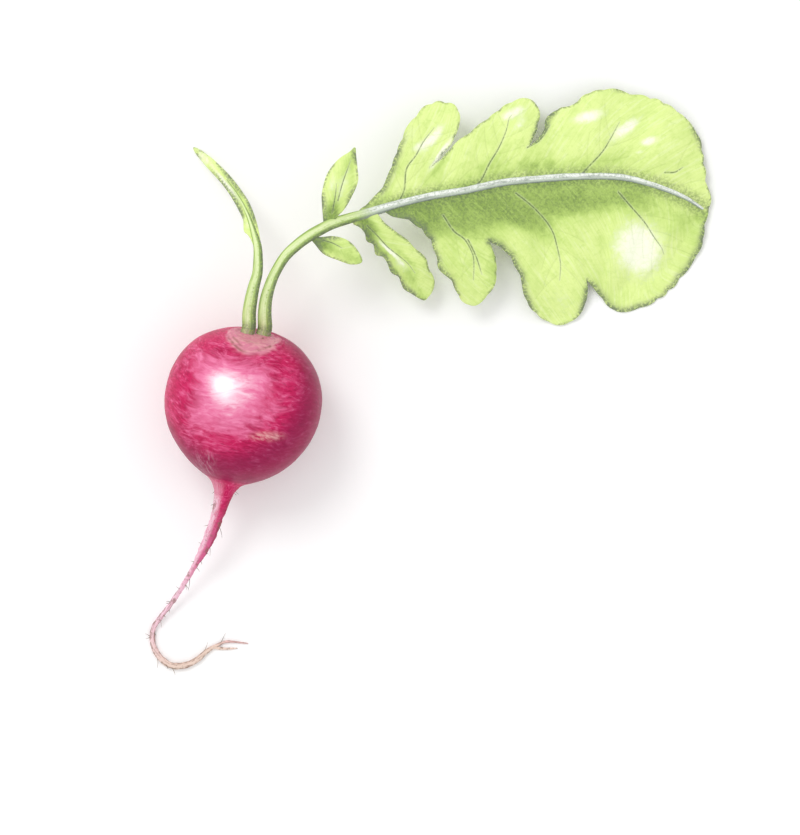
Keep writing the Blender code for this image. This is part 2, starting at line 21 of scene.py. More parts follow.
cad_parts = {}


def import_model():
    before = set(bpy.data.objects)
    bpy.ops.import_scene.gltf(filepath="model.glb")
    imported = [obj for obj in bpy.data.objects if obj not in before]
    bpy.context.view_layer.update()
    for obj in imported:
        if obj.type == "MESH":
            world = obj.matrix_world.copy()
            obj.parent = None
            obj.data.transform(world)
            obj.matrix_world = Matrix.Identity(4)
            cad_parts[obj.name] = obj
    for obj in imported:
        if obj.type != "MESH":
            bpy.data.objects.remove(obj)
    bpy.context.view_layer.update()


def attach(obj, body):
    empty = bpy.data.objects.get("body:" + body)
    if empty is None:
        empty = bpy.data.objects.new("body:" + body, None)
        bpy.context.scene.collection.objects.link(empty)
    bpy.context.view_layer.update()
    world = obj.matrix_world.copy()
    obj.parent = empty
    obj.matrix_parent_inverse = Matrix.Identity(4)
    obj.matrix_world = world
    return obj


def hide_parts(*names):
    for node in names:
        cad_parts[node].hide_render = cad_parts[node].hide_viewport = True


LOG = logging.getLogger("radish")

MM = 0.001
BODY = "root"
UP = np.array((0.0, 0.0, 1.0))
SPLINE_PARTS = 16
NEAREST_CHUNK = 3000
BESIDE_ROUNDS = 7
# How far a limb's tip lies past its last ring.
TIP_LENGTH = 0.3
# How high a stalk's foot stands over the crown's flat.
FOOT_LIFT = 0.4
# Its first points: distance along it and share of its radius.
FOOT_ROWS = ((-0.45, 1.05), (0.1, 1.0), (1.2, 1.0))
# Distances from its foot over which painted shade comes onto a stalk, which turns to cream at the very foot.
FOOT_FADE = (4.5, 0.5)
# Mix node sockets for colours: first colour, second colour, result.
MIX_FIRST = 6
MIX_SECOND = 7
MIX_RESULT = 2

Row = tuple[float, ...]


class Slot(Enum):
    """The record's material slots."""

    RADISH_SKIN = "radish_skin"
    LEAF = "leaf"
    YOUNG_LEAF = "young_leaf"


# Curves and fields


def heading(turn: float, rise: float) -> np.ndarray:
    """Gives a unit vector from two angles.

    Args:
        turn: degrees in plan from +X.
        rise: degrees up from the floor.

    Returns:
        The unit vector.
    """
    turn, rise = math.radians(turn), math.radians(rise)
    return np.array((math.cos(turn) * math.cos(rise), math.sin(turn) * math.cos(rise), math.sin(rise)))


def unit(rows: np.ndarray) -> np.ndarray:
    """Scales vectors, one or a row each, to length one."""
    return rows / np.maximum(np.linalg.norm(rows, axis=-1, keepdims=True), 1e-12)


def fade(values: np.ndarray, low: float, high: float) -> np.ndarray:
    """Rises smoothly from 0 to 1.

    Args:
        values: where to read the rise.
        low: the value with 0.
        high: the value with 1, which may be the lower one.

    Returns:
        The rise at each value.
    """
    share = np.clip((values - low) / (high - low), 0.0, 1.0)
    return share * share * (3.0 - 2.0 * share)


def running_length(rows: np.ndarray) -> np.ndarray:
    """Gives the length run along a row of points at each of them."""
    steps = np.linalg.norm(np.diff(rows, axis=0), axis=1)
    return np.concatenate(((0.0,), np.cumsum(steps)))


def smooth_run(rows: Any, step: float) -> np.ndarray:
    """Gives evenly spaced rows on a smooth curve through the given ones.

    Args:
        rows: points, whose numbers after the third go along with them.
        step: spacing in millimetres.

    Returns:
        The new rows, with both ends kept.
    """
    knots = np.array(rows, float)
    knots = np.vstack((2 * knots[0] - knots[1], knots, 2 * knots[-1] - knots[-2]))
    t = np.linspace(0.0, 1.0, SPLINE_PARTS, endpoint=False)[:, None]
    parts = []
    for a, b, c, d in zip(knots, knots[1:], knots[2:], knots[3:]):
        square, cube = a * 2 - b * 5 + c * 4 - d, b * 3 - a - c * 3 + d
        parts.append((b * 2 + (c - a) * t + square * t**2 + cube * t**3) / 2)
    fine = np.vstack((*parts, knots[-2:-1]))
    along = running_length(fine[:, :3])
    count = max(2, round(along[-1] / step))
    at = np.linspace(0.0, along[-1], count + 1)
    return np.column_stack([np.interp(at, along, column) for column in fine.T])


def nearest(spots: np.ndarray, line: np.ndarray) -> tuple[np.ndarray, np.ndarray]:
    """Finds the nearest of a line's points to each spot.

    Args:
        spots: points in plan.
        line: points in plan.

    Returns:
        The index of the line's point and the distance to it, for each spot.
    """
    index = np.empty(len(spots), int)
    gap = np.empty(len(spots))
    for start in range(0, len(spots), NEAREST_CHUNK):
        part = spots[start : start + NEAREST_CHUNK]
        square = ((part[:, None, :] - line[None, :, :]) ** 2).sum(axis=2)
        best = square.argmin(axis=1)
        index[start : start + NEAREST_CHUNK] = best
        gap[start : start + NEAREST_CHUNK] = np.sqrt(square[np.arange(len(part)), best])
    return index, gap


def beside(spots: np.ndarray, line: np.ndarray) -> tuple[np.ndarray, np.ndarray]:
    """Finds where spots lie along a smooth line of even steps and how far to its left.

    Args:
        spots: points in plan.
        line: points in plan.

    Returns:
        The place along the line, counted in its points, and the signed distance from it.
    """
    tangents = unit(np.gradient(line, axis=0))
    spacing = float(np.linalg.norm(line[1] - line[0]))
    at = nearest(spots, line)[0].astype(float)
    for _ in range(BESIDE_ROUNDS):
        low = np.minimum(at.astype(int), len(line) - 2)
        share = (at - low)[:, None]
        ahead = unit(tangents[low] * (1 - share) + tangents[low + 1] * share)
        offset = spots - line[low] * (1 - share) - line[low + 1] * share
        at = np.clip(at + (offset * ahead).sum(axis=1) / spacing, 0.0, len(line) - 1.0)
    left = ahead[:, 0] * offset[:, 1] - ahead[:, 1] * offset[:, 0]
    return at, np.copysign(np.linalg.norm(offset, axis=1), left)


def cloud(points: np.ndarray, size: float, place: float) -> np.ndarray:
    """Reads a smooth noise field.

    Args:
        points: where to read it, in millimetres.
        size: the width of its lumps in millimetres.
        place: a shift that sets one field apart from another.

    Returns:
        Values from about -1 to 1.
    """
    shifted = np.asarray(points, float) / size + place
    if shifted.shape[1] == 2:
        shifted = np.column_stack((shifted, np.full(len(shifted), place)))
    return np.array([noise.noise(Vector(point)) for point in shifted])


def bumps(points: np.ndarray, rows: tuple[Row, ...]) -> np.ndarray:
    """Adds up smooth noise fields at points, each given by its height, lump width and place."""
    return sum(height * cloud(points, size, place) for height, size, place in rows)


def patches(points: np.ndarray, rows: tuple[Row, ...]) -> np.ndarray:
    """Adds up soft oval patches.

    Args:
        points: where to read them, by x and y.
        rows: x, y, length, width, turn in degrees and strength of each patch.

    Returns:
        Their sum at each point.
    """
    total = np.zeros(len(points))
    for x, y, length, width, turn, most in rows:
        c, s = heading(turn, 0.0)[:2]
        u = ((points[:, 0] - x) * c + (points[:, 1] - y) * s) / length
        v = ((points[:, 1] - y) * c - (points[:, 0] - x) * s) / width
        total += most * np.exp(-(u**2 + v**2))
    return total


def travelling_frames(path: np.ndarray, side: np.ndarray) -> tuple[np.ndarray, np.ndarray]:
    """Carries two cross directions along a path without twist.

    Args:
        path: points of the path.
        side: the first cross direction at its start.

    Returns:
        The two cross directions at each point.
    """
    tangents = unit(np.gradient(path, axis=0))
    sides = [unit(side - tangents[0] * (side @ tangents[0]))]
    for tangent in tangents[1:]:
        last = sides[-1]
        sides.append(unit(last - tangent * (last @ tangent)))
    sides = np.array(sides)
    return sides, np.cross(tangents, sides)


def limb(path: np.ndarray, side: np.ndarray, turn: np.ndarray) -> tuple[np.ndarray, np.ndarray, np.ndarray]:
    """Rounds a path into rings.

    Args:
        path: rows of x, y, z and radius.
        side: the direction in which a ring's first point lies at the start.
        turn: the places round a ring as angles.

    Returns:
        The outward direction and the place of each ring's points, and the tip past the last ring.
    """
    sides, others = travelling_frames(path[:, :3], side)
    outward = np.cos(turn)[:, None] * sides[:, None, :] + np.sin(turn)[:, None] * others[:, None, :]
    tip = path[-1, :3] + unit(path[-1, :3] - path[-2, :3]) * TIP_LENGTH
    return outward, path[:, None, :3] + outward * path[:, 3][:, None, None], tip


# Meshes


@dataclass
class Shell:
    """A closed surface with the values that its finish reads at each point."""

    points: np.ndarray
    faces: list[tuple[int, ...]]
    values: dict[str, np.ndarray] = field(default_factory=dict)

    @staticmethod
    def together(shells: list["Shell"]) -> "Shell":
        """Puts several shells with the same values into one."""
        faces, start = [], 0
        for shell in shells:
            faces.extend(tuple(corner + start for corner in face) for face in shell.faces)
            start += len(shell.points)
        values = {name: np.concatenate([shell.values[name] for shell in shells]) for name in shells[0].values}
        return Shell(np.vstack([shell.points for shell in shells]), faces, values)


def loft(rings: np.ndarray, first: np.ndarray, last: np.ndarray) -> tuple[np.ndarray, list[tuple[int, ...]]]:
    """Skins a row of rings and closes both ends on a point.

    Args:
        rings: points by ring and by place round it.
        first: the point before the first ring.
        last: the point after the last ring.

    Returns:
        All points, ring by ring with the two end points behind them, and the faces.
    """
    count, sides = rings.shape[:2]
    points = np.vstack((rings.reshape(-1, 3), first, last))
    start, end = count * sides, count * sides + 1
    faces = []
    for ring in range(count - 1):
        for side in range(sides):
            after = (side + 1) % sides
            a, b = ring * sides, (ring + 1) * sides
            faces.append((a + side, a + after, b + after, b + side))
    for side in range(sides):
        after = (side + 1) % sides
        faces.append((start, after, side))
        faces.append((end, (count - 1) * sides + side, (count - 1) * sides + after))
    return points, faces


def store(mesh: Mesh, values: dict[str, np.ndarray]) -> None:
    """Stores numbers or vectors on a mesh's points as attributes."""
    for key, rows in values.items():
        kind, item = ("FLOAT_VECTOR", "vector") if rows.ndim == 2 else ("FLOAT", "value")
        mesh.attributes.new(key, kind, "POINT").data.foreach_set(item, rows.astype(np.float32).ravel())


def new_mesh(name: str, shell: Shell) -> Mesh:
    """Makes a mesh of a shell, smooth, outward and with its values as attributes."""
    mesh = bpy.data.meshes.new(name)
    mesh.from_pydata((shell.points * MM).tolist(), [], shell.faces)
    store(mesh, shell.values)
    shape = bmesh.new()
    shape.from_mesh(mesh)
    bmesh.ops.recalc_face_normals(shape, faces=shape.faces)
    shape.to_mesh(mesh)
    shape.free()
    mesh.shade_smooth()
    return mesh


def place_piece(
    name: str, mesh: Mesh, material: Material, node: str = ""
) -> None:
    """Puts a finished mesh into the scene, on the part's one body.

    Args:
        name: the piece's name.
        mesh: its mesh, in place.
        material: its finish.
        node: the CAD node that it stands for, if any.
    """
    mesh.materials.clear()
    mesh.materials.append(material)
    piece = bpy.data.objects.new(name, mesh)
    bpy.context.scene.collection.objects.link(piece)
    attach(piece, BODY)
    if node:
        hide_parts(node)
    mesh.calc_loop_triangles()
    LOG.info("%s: %d triangles", name, len(mesh.loop_triangles))


# Nodes


def add_node(
    tree: NodeTree,
    kind: str,
    values: dict | None = None,
    links: dict | None = None,
    **settings: Any,
) -> Node:
    """Adds a node with its settings and links.

    Args:
        tree: the tree it goes into.
        kind: the node's type.
        values: numbers, colours and names set on its inputs, by input name or number.
        links: outputs, or nodes for their first output, joined to its inputs, by input name or number.
        settings: its other settings.

    Returns:
        The new node.
    """
    node = tree.nodes.new(kind)
    for key, value in settings.items():
        setattr(node, key, value)
    for key, value in (values or {}).items():
        node.inputs[key].default_value = value
    for key, source in (links or {}).items():
        tree.links.new(source.outputs[0] if isinstance(source, Node) else source, node.inputs[key])
    return node


def linear(code: str) -> tuple[float, float, float, float]:
    """Turns an sRGB hex value into the linear colour that a node takes."""
    parts = [int(code[start : start + 2], 16) / 255 for start in (1, 3, 5)]
    parts = [part / 12.92 if part <= 0.04045 else ((part + 0.055) / 1.055) ** 2.4 for part in parts]
    return *parts, 1.0


def per_metre(size: float) -> float:
    """Texture scale for a pattern of one size in millimetres."""
    return 1.0 / (size * MM)


def new_material(name: str) -> tuple[Material, NodeTree, Node]:
    """Makes a material and gives it, its tree and its Principled shader."""
    material = bpy.data.materials.new(name)
    material.use_nodes = True
    return material, material.node_tree, material.node_tree.nodes["Principled BSDF"]


# Geometry Nodes trees


def run_tree(
    name: str, source: Mesh, tree: NodeTree, settings: dict[str, Any]
) -> Mesh:
    """Runs a Geometry Nodes tree on a mesh and keeps the result as a plain mesh.

    Args:
        name: the new mesh's name.
        source: the mesh that the tree starts from.
        tree: the tree.
        settings: its inputs by name.

    Returns:
        The result.
    """
    carrier = bpy.data.objects.new(name + "_carrier", source)
    bpy.context.scene.collection.objects.link(carrier)
    modifier = carrier.modifiers.new(name, "NODES")
    modifier.node_group = tree
    for item in tree.interface.items_tree:
        if item.item_type == "SOCKET" and item.in_out == "INPUT" and item.name in settings:
            modifier[item.identifier] = settings[item.name]
    graph = bpy.context.evaluated_depsgraph_get()
    made = bpy.data.meshes.new_from_object(carrier.evaluated_get(graph))
    made.name = name
    carrier.modifiers.clear()
    bpy.data.objects.remove(carrier)
    return made


def open_tree(name: str, inputs: list[tuple[str, str, Any]]) -> tuple[NodeTree, Node]:
    """Starts a Geometry Nodes tree.

    Args:
        name: the tree's name.
        inputs: name, socket type and default of each input after the geometry.

    Returns:
        The tree and its input node.
    """
    tree = bpy.data.node_groups.new(name, "GeometryNodeTree")
    tree.interface.new_socket("Geometry", in_out="INPUT", socket_type="NodeSocketGeometry")
    tree.interface.new_socket("Geometry", in_out="OUTPUT", socket_type="NodeSocketGeometry")
    for title, kind, value in inputs:
        made = tree.interface.new_socket(title, in_out="INPUT", socket_type=kind)
        if value is not None:
            made.default_value = value
    return tree, tree.nodes.new("NodeGroupInput")


def close_tree(
    tree: NodeTree, sweep: dict[str, Node | NodeSocket], material: NodeSocket
) -> None:
    """Sweeps a profile along curves and ends the tree in Realize Instances and Set Material.

    Args:
        tree: the tree.
        sweep: the curves, the profile and its scale, by socket name.
        material: the finish.
    """
    made = add_node(tree, "GeometryNodeCurveToMesh", {"Fill Caps": True}, sweep)
    for kind in ("GeometryNodeSetShadeSmooth", "GeometryNodeRealizeInstances"):
        made = add_node(tree, kind, links={"Geometry": made})
    dressed = add_node(tree, "GeometryNodeSetMaterial", links={"Geometry": made, "Material": material})
    add_node(tree, "NodeGroupOutput", links={"Geometry": dressed})


@dataclass
class RibbedSweep:
    """A stalk or rib: a ridged round profile swept along polylines, its radius from their `thick` value."""

    sides: int = 40
    ridges: float = 7.0
    ridge_height: float = 0.045
    channel: float = 0.2
    # The power that narrows the channel on top.
    channel_power: float = 6.0

    def tree(self) -> NodeTree:
        """Builds the sweep's tree.

        Returns:
            The tree.
        """
        inputs = [
            ("Sides", "NodeSocketInt", self.sides),
            ("Ridges", "NodeSocketFloat", self.ridges),
            ("Ridge Height", "NodeSocketFloat", self.ridge_height),
            ("Channel Depth", "NodeSocketFloat", self.channel),
            ("Material", "NodeSocketMaterial", None),
        ]
        tree, start = open_tree("ribbed_sweep", inputs)
        line = add_node(tree, "GeometryNodeMeshToCurve", links={"Mesh": start})
        thick = add_node(tree, "GeometryNodeInputNamedAttribute", {"Name": "thick"})
        links = {"Curve": line, "Radius": thick}
        path = add_node(tree, "GeometryNodeSetCurveRadius", links=links)
        path = add_node(tree, "GeometryNodeSetCurveNormal", links={"Curve": path}, mode="Z_UP")
        links = {"Resolution": start.outputs["Sides"]}
        circle = add_node(tree, "GeometryNodeCurvePrimitiveCircle", {"Radius": MM}, links)
        share = add_node(tree, "GeometryNodeSplineParameter")
        reads = {"share": share}
        for key in ("Ridges", "Ridge Height", "Channel Depth"):
            reads[key] = start.outputs[key]
        for key, operation, sources, values in (
            ("turn", "MULTIPLY", ("share",), {1: -math.tau}),
            ("aside", "COSINE", ("turn",), {}),
            ("up", "SINE", ("turn",), {}),
            ("waves", "MULTIPLY", ("turn", "Ridges"), {}),
            ("ridge", "COSINE", ("waves",), {}),
            ("raised", "MULTIPLY_ADD", ("ridge", "Ridge Height"), {2: 1.0}),
            ("top", "MAXIMUM", ("up",), {1: 0.0}),
            ("narrow", "POWER", ("top",), {1: self.channel_power}),
            ("sunk", "MULTIPLY", ("narrow", "Channel Depth"), {}),
            ("reach", "SUBTRACT", ("raised", "sunk"), {}),
        ):
            links = {place: reads[source] for place, source in enumerate(sources)}
            reads[key] = add_node(tree, "ShaderNodeMath", values, links, operation=operation)
        place = add_node(tree, "GeometryNodeInputPosition")
        links = {0: place, "Scale": reads["reach"]}
        moved = add_node(tree, "ShaderNodeVectorMath", links=links, operation="SCALE")
        links = {"Geometry": circle, "Position": moved}
        profile = add_node(tree, "GeometryNodeSetPosition", links=links)
        for key in ("up", "aside"):
            links = {"Geometry": profile, "Value": reads[key]}
            marked = add_node(tree, "GeometryNodeStoreNamedAttribute", {"Name": key}, links, domain="POINT")
            profile = marked
        links = {"Geometry": path, "Value": share.outputs["Length"]}
        marked = add_node(tree, "GeometryNodeStoreNamedAttribute", {"Name": "run"}, links, domain="POINT")
        sweep = {"Curve": marked, "Profile Curve": profile, "Scale": thick}
        close_tree(tree, sweep, start.outputs["Material"])
        return tree

    def sweep(
        self, name: str, paths: list[np.ndarray], silver: list[np.ndarray], material: Material
    ) -> Mesh:
        """Sweeps the profile along paths.

        Args:
            name: the new mesh's name.
            paths: rows of x, y, z and radius.
            silver: for each path, how far from green stalk to silvery rib each row is, and below zero how far
                into the painted shade and cream at the foot.
            material: the finish.

        Returns:
            The swept mesh.
        """
        edges, start = [], 0
        for path in paths:
            edges.extend((start + index, start + index + 1) for index in range(len(path) - 1))
            start += len(path)
        rows = np.vstack(paths)
        mesh = bpy.data.meshes.new(name + "_paths")
        mesh.from_pydata((rows[:, :3] * MM).tolist(), edges, [])
        store(mesh, {"thick": rows[:, 3], "silver": np.concatenate(silver)})
        return run_tree(name, mesh, self.tree(), {"Sides": self.sides, "Material": material})


@dataclass
class FineHairs:
    """Thin tapering hairs on given feet, each along its foot's `way` and as long as its `reach`."""

    radius: float = 0.09
    # How much thinner a hair gets towards its tip, as a share.
    taper: float = 0.75
    curl: float = 0.25
    joints: int = 8
    sides: int = 5
    seed: int = 5

    def tree(self) -> NodeTree:
        """Builds the hairs' tree.

        Returns:
            The tree.
        """
        inputs = [
            ("Radius", "NodeSocketFloat", self.radius * MM),
            ("Curl", "NodeSocketFloat", self.curl),
            ("Joints", "NodeSocketInt", self.joints),
            ("Sides", "NodeSocketInt", self.sides),
            ("Seed", "NodeSocketInt", self.seed),
            ("Material", "NodeSocketMaterial", None),
        ]
        tree, start = open_tree("fine_hairs", inputs)
        line = add_node(tree, "GeometryNodeCurvePrimitiveLine", {"End": (0.0, 0.0, 1.0)})
        links = {"Curve": line, "Count": start.outputs["Joints"]}
        hair = add_node(tree, "GeometryNodeResampleCurve", links=links)
        share = add_node(tree, "GeometryNodeSplineParameter")
        square = add_node(tree, "ShaderNodeMath", {1: 2.0}, {0: share}, operation="POWER")
        links = {0: square, 1: start.outputs["Curl"]}
        lean = add_node(tree, "ShaderNodeMath", links=links, operation="MULTIPLY")
        aside = add_node(tree, "ShaderNodeCombineXYZ", links={"X": lean})
        links = {"Geometry": hair, "Offset": aside}
        hair = add_node(tree, "GeometryNodeSetPosition", links=links)
        thinning = {1: -self.taper, 2: 1.0}
        taper = add_node(tree, "ShaderNodeMath", thinning, {0: share}, operation="MULTIPLY_ADD")
        links = {"Geometry": hair, "Value": taper}
        hair = add_node(tree, "GeometryNodeStoreNamedAttribute", {"Name": "taper"}, links, domain="POINT")
        way = add_node(tree, "GeometryNodeInputNamedAttribute", {"Name": "way"}, data_type="FLOAT_VECTOR")
        links = {"Vector": way}
        aimed = add_node(tree, "FunctionNodeAlignRotationToVector", links=links, axis="Z")
        turn = add_node(tree, "FunctionNodeRandomValue", {3: math.tau}, {"Seed": start.outputs["Seed"]})
        upright = {"Axis": (0.0, 0.0, 1.0)}
        spin = add_node(tree, "FunctionNodeAxisAngleToRotation", upright, {"Angle": turn.outputs[1]})
        links = {"Rotation": aimed, "Rotate By": spin}
        spun = add_node(tree, "FunctionNodeRotateRotation", links=links, rotation_space="LOCAL")
        reach = add_node(tree, "GeometryNodeInputNamedAttribute", {"Name": "reach"})
        links = {
            "Points": start,
            "Instance": hair,
            "Rotation": spun,
            "Scale": reach,
        }
        planted = add_node(tree, "GeometryNodeInstanceOnPoints", links=links)
        plain = add_node(tree, "GeometryNodeRealizeInstances", links={"Geometry": planted})
        links = {"Resolution": start.outputs["Sides"], "Radius": start.outputs["Radius"]}
        circle = add_node(tree, "GeometryNodeCurvePrimitiveCircle", links=links)
        kept = add_node(tree, "GeometryNodeInputNamedAttribute", {"Name": "taper"})
        sweep = {"Curve": plain, "Profile Curve": circle, "Scale": kept}
        close_tree(tree, sweep, start.outputs["Material"])
        return tree

    def plant(
        self, name: str, feet: np.ndarray, ways: np.ndarray, reaches: np.ndarray, material: Material
    ) -> Mesh:
        """Plants one hair on each foot.

        Args:
            name: the new mesh's name.
            feet: points in millimetres.
            ways: directions.
            reaches: lengths in millimetres.
            material: the finish.

        Returns:
            The hairs' mesh, none of it below the floor.
        """
        mesh = bpy.data.meshes.new(name + "_feet")
        mesh.from_pydata((feet * MM).tolist(), [], [])
        store(mesh, {"way": unit(ways), "reach": reaches * MM})
        settings = {"Radius": self.radius * MM, "Curl": self.curl, "Material": material}
        made = run_tree(name, mesh, self.tree(), settings)
        for vertex in made.vertices:
            vertex.co.z = max(vertex.co.z, self.radius * MM / 2)
        return made


# Finishes


def dress(
    tree: NodeTree,
    shader: Node,
    height: Node | NodeSocket,
    relief: Row,
    levels: dict[str, float],
) -> None:
    """Gives a shader its relief, and the numbers that are the same all over the surface.

    Args:
        tree: the material's tree.
        shader: its shader.
        height: the relief's height.
        relief: the relief's strength, and its depth in millimetres.
        levels: the numbers by socket name.
    """
    values = {"Strength": relief[0], "Distance": relief[1] * MM}
    bump = add_node(tree, "ShaderNodeBump", values, {"Height": height})
    tree.links.new(bump.outputs["Normal"], shader.inputs["Normal"])
    for name, level in levels.items():
        shader.inputs[name].default_value = level


def painted(
    tree: NodeTree, base: str, layers: list[tuple], reads: dict[str, Node | NodeSocket]
) -> NodeSocket:
    """Lays colours over a base colour, each where all of its values are in their ranges.

    Args:
        tree: the material's tree.
        base: the base colour.
        layers: colour and its largest share, then for each value its name, where the colour starts and where
            it is full.
        reads: the values by name.

    Returns:
        The colour.
    """
    colour = None
    for code, most, *ranges in layers:
        share = None
        for key, low, high in ranges:
            ramp = add_node(
                tree,
                "ShaderNodeMapRange",
                {"From Min": low, "From Max": high, "To Max": 1.0 if share else most},
                {"Value": reads[key]},
                interpolation_type="SMOOTHSTEP",
            )
            if share:
                links = {0: share, 1: ramp}
                ramp = add_node(tree, "ShaderNodeMath", links=links, operation="MULTIPLY")
            share = ramp
        links = {"Factor": share}
        if colour:
            links[MIX_FIRST] = colour
        colours = {MIX_FIRST: linear(base), MIX_SECOND: linear(code)}
        colour = add_node(tree, "ShaderNodeMix", colours, links, data_type="RGBA").outputs[MIX_RESULT]
    return colour


@dataclass(frozen=True)
class RadishSkin:
    """Radish skin: a thin smooth peel grown over wet flesh.

    It gives the eye a deep crimson with fine short streaks round the bulb, a painted pale highlight on the
    shoulder with a painted white middle, painted darker shade towards the rim, a pale scarred crown, a soft
    waxy gloss, and a taproot that fades from pink to tan and grows rough, with a painted lighter side and
    painted shade on the other side.
    """

    name: str = "radish_skin"
    crimson: str = "#C41F59"
    deep: str = "#8E0F3C"
    # Bright, pink and pale also paint the highlight on the shoulder, round its painted white middle below.
    bright: str = "#DB4A80"
    pink: str = "#EC86AE"
    pale: str = "#F8DAE7"
    highlight_core: str = "#FFFDFE"
    # Painted shade towards the bulb's rim.
    rim: str = "#7A0C40"
    crown_pink: str = "#DC90A6"
    scar_cream: str = "#EBC3B6"
    scar_brown: str = "#96605C"
    cork_tan: str = "#E3B0AA"
    root_rose: str = "#D9709A"
    root_pink: str = "#F5D2E0"
    root_tan: str = "#E6D2BC"
    root_brown: str = "#86695A"
    roughness: float = 0.36
    root_roughness: float = 0.75
    ior: float = 1.36
    sheen_level: float = 0.16
    streak_width: float = 0.55
    streak_length: float = 2.0
    drift_width: float = 1.6
    drift_length: float = 4.5
    # The strokes sway by this much, over this distance, in millimetres.
    sway: float = 4.5
    sway_size: float = 14.0
    mottle_size: float = 7.0
    speck_size: float = 0.8
    # The grain's strength as relief, and its depth in millimetres.
    relief: Row = (0.45, 0.02)
    # How much of the drifts' noise goes into the edge of the painted highlight on the shoulder.
    highlight_grain: float = 0.75
    # The share of the taproot after which it is roughest.
    rough_from: float = 0.3

    def material(self) -> Material:
        """Builds the material.

        Returns:
            The material.
        """
        material, tree, shader = new_material(self.name)
        reads = {}
        for key in ("tail", "crown", "arc", "groove", "cork", "flare", "painted_highlight", "light_side", "painted_shade", "stain"):
            reads[key] = add_node(tree, "ShaderNodeAttribute", attribute_name=key).outputs["Fac"]
        grain = add_node(tree, "ShaderNodeAttribute", attribute_name="grain").outputs["Vector"]
        place = add_node(tree, "ShaderNodeTexCoord").outputs["Object"]
        values = {"Scale": per_metre(self.sway_size), "Detail": 1.0}
        wave = add_node(tree, "ShaderNodeTexNoise", values, {"Vector": place}).outputs["Color"]
        values, links = {1: (self.sway,) * 3}, {0: wave, 2: grain}
        swayed = add_node(tree, "ShaderNodeVectorMath", values, links, operation="MULTIPLY_ADD")
        long, short = 1 / self.streak_length, 1 / self.streak_width
        wide, narrow = 1 / self.drift_length, 1 / self.drift_width
        for key, scale, vector, detail, bend in (
            ("streaks", (long, long, short), swayed, 4.0, 0.5),
            ("drifts", (wide, wide, narrow), swayed, 4.0, 0.8),
            ("threads", (short, short, long), grain, 4.0, 0.4),
            ("mottle", (per_metre(self.mottle_size),) * 3, place, 3.0, 0.3),
            ("specks", (per_metre(self.speck_size),) * 3, place, 3.0, 0.0),
        ):
            lie = add_node(tree, "ShaderNodeMapping", {"Scale": scale}, {"Vector": vector})
            values = {"Scale": 1.0, "Detail": detail, "Roughness": 0.6, "Distortion": bend}
            reads[key] = add_node(tree, "ShaderNodeTexNoise", values, {"Vector": lie})
        values, links = {1: self.highlight_grain}, {0: reads["drifts"], 2: reads["painted_highlight"]}
        reads["grainy_highlight"] = add_node(tree, "ShaderNodeMath", values, links, operation="MULTIPLY_ADD")
        layers = [
            (self.deep, 0.4, ("mottle", 0.42, 0.66)),
            (self.bright, 0.5, ("drifts", 0.45, 0.62)),
            (self.deep, 0.5, ("streaks", 0.5, 0.34)),
            (self.bright, 0.5, ("streaks", 0.52, 0.68)),
            (self.pink, 0.4, ("streaks", 0.54, 0.68), ("drifts", 0.45, 0.62)),
            # Painted shade towards the rim.
            (self.rim, 0.7, ("painted_shade", 0.15, 1.0)),
            # Painted highlight on the shoulder: pink, pale, brighter streaks at its edge and a white middle.
            (self.pink, 0.9, ("grainy_highlight", 0.44, 0.98)),
            (self.pale, 0.9, ("grainy_highlight", 0.84, 1.36)),
            (self.bright, 0.35, ("streaks", 0.52, 0.36), ("grainy_highlight", 0.53, 0.83), ("grainy_highlight", 1.45, 1.1)),
            (self.highlight_core, 0.95, ("grainy_highlight", 1.26, 1.66)),
            (self.pale, 0.22, ("threads", 0.45, 0.66), ("flare", 0.1, 1.0)),
            (self.cork_tan, 0.45, ("cork", 0.1, 0.9), ("drifts", 0.35, 0.6)),
            (self.cork_tan, 0.5, ("cork", 0.2, 0.9), ("streaks", 0.48, 0.6)),
            (self.root_rose, 0.75, ("tail", 0.02, 0.25)),
            # Painted highlight on the lit side of the taproot.
            (self.root_pink, 0.85, ("tail", 0.01, 0.05), ("light_side", -0.2, 0.6), ("threads", 0.3, 0.5)),
            (self.root_pink, 0.85, ("tail", 0.26, 0.42)),
            # Painted shade on the other side of the upper taproot.
            (self.deep, 0.6, ("tail", 0.38, 0.2), ("light_side", -0.4, -0.9), ("tail", 0.0, 0.06)),
            (self.root_tan, 0.8, ("tail", 0.5, 0.75)),
            (self.root_rose, 0.5, ("threads", 0.5, 0.62), ("tail", 0.05, 0.3), ("tail", 0.75, 0.5)),
            (self.root_rose, 0.3, ("tail", 0.88, 0.95)),
            (self.root_brown, 0.7, ("light_side", 0.4, 0.85), ("tail", 0.36, 0.5), ("specks", 0.44, 0.54)),
            (self.root_brown, 0.7, ("light_side", -0.4, -0.85), ("tail", 0.36, 0.5), ("specks", 0.44, 0.54)),
            (self.root_brown, 0.65, ("stain", 0.2, 0.8), ("specks", 0.4, 0.52)),
            (self.root_brown, 0.7, ("threads", 0.52, 0.62), ("tail", 0.35, 0.5)),
            (self.root_brown, 0.5, ("specks", 0.56, 0.64), ("threads", 0.4, 0.55), ("tail", 0.04, 0.2)),
            (self.crown_pink, 0.75, ("crown", 0.0, 1.0)),
            (self.scar_cream, 0.3, ("crown", 0.3, 1.0), ("drifts", 0.42, 0.6)),
            (self.scar_cream, 0.6, ("arc", 0.0, 1.0)),
            (self.scar_brown, 0.85, ("groove", 0.0, 1.0)),
        ]
        tree.links.new(painted(tree, self.crimson, layers, reads), shader.inputs["Base Color"])
        links = {0: reads["streaks"], 1: reads["specks"]}
        fine = add_node(tree, "ShaderNodeMath", links=links, operation="ADD")
        dress(tree, shader, fine, self.relief, {"IOR": self.ior, "Specular IOR Level": self.sheen_level})
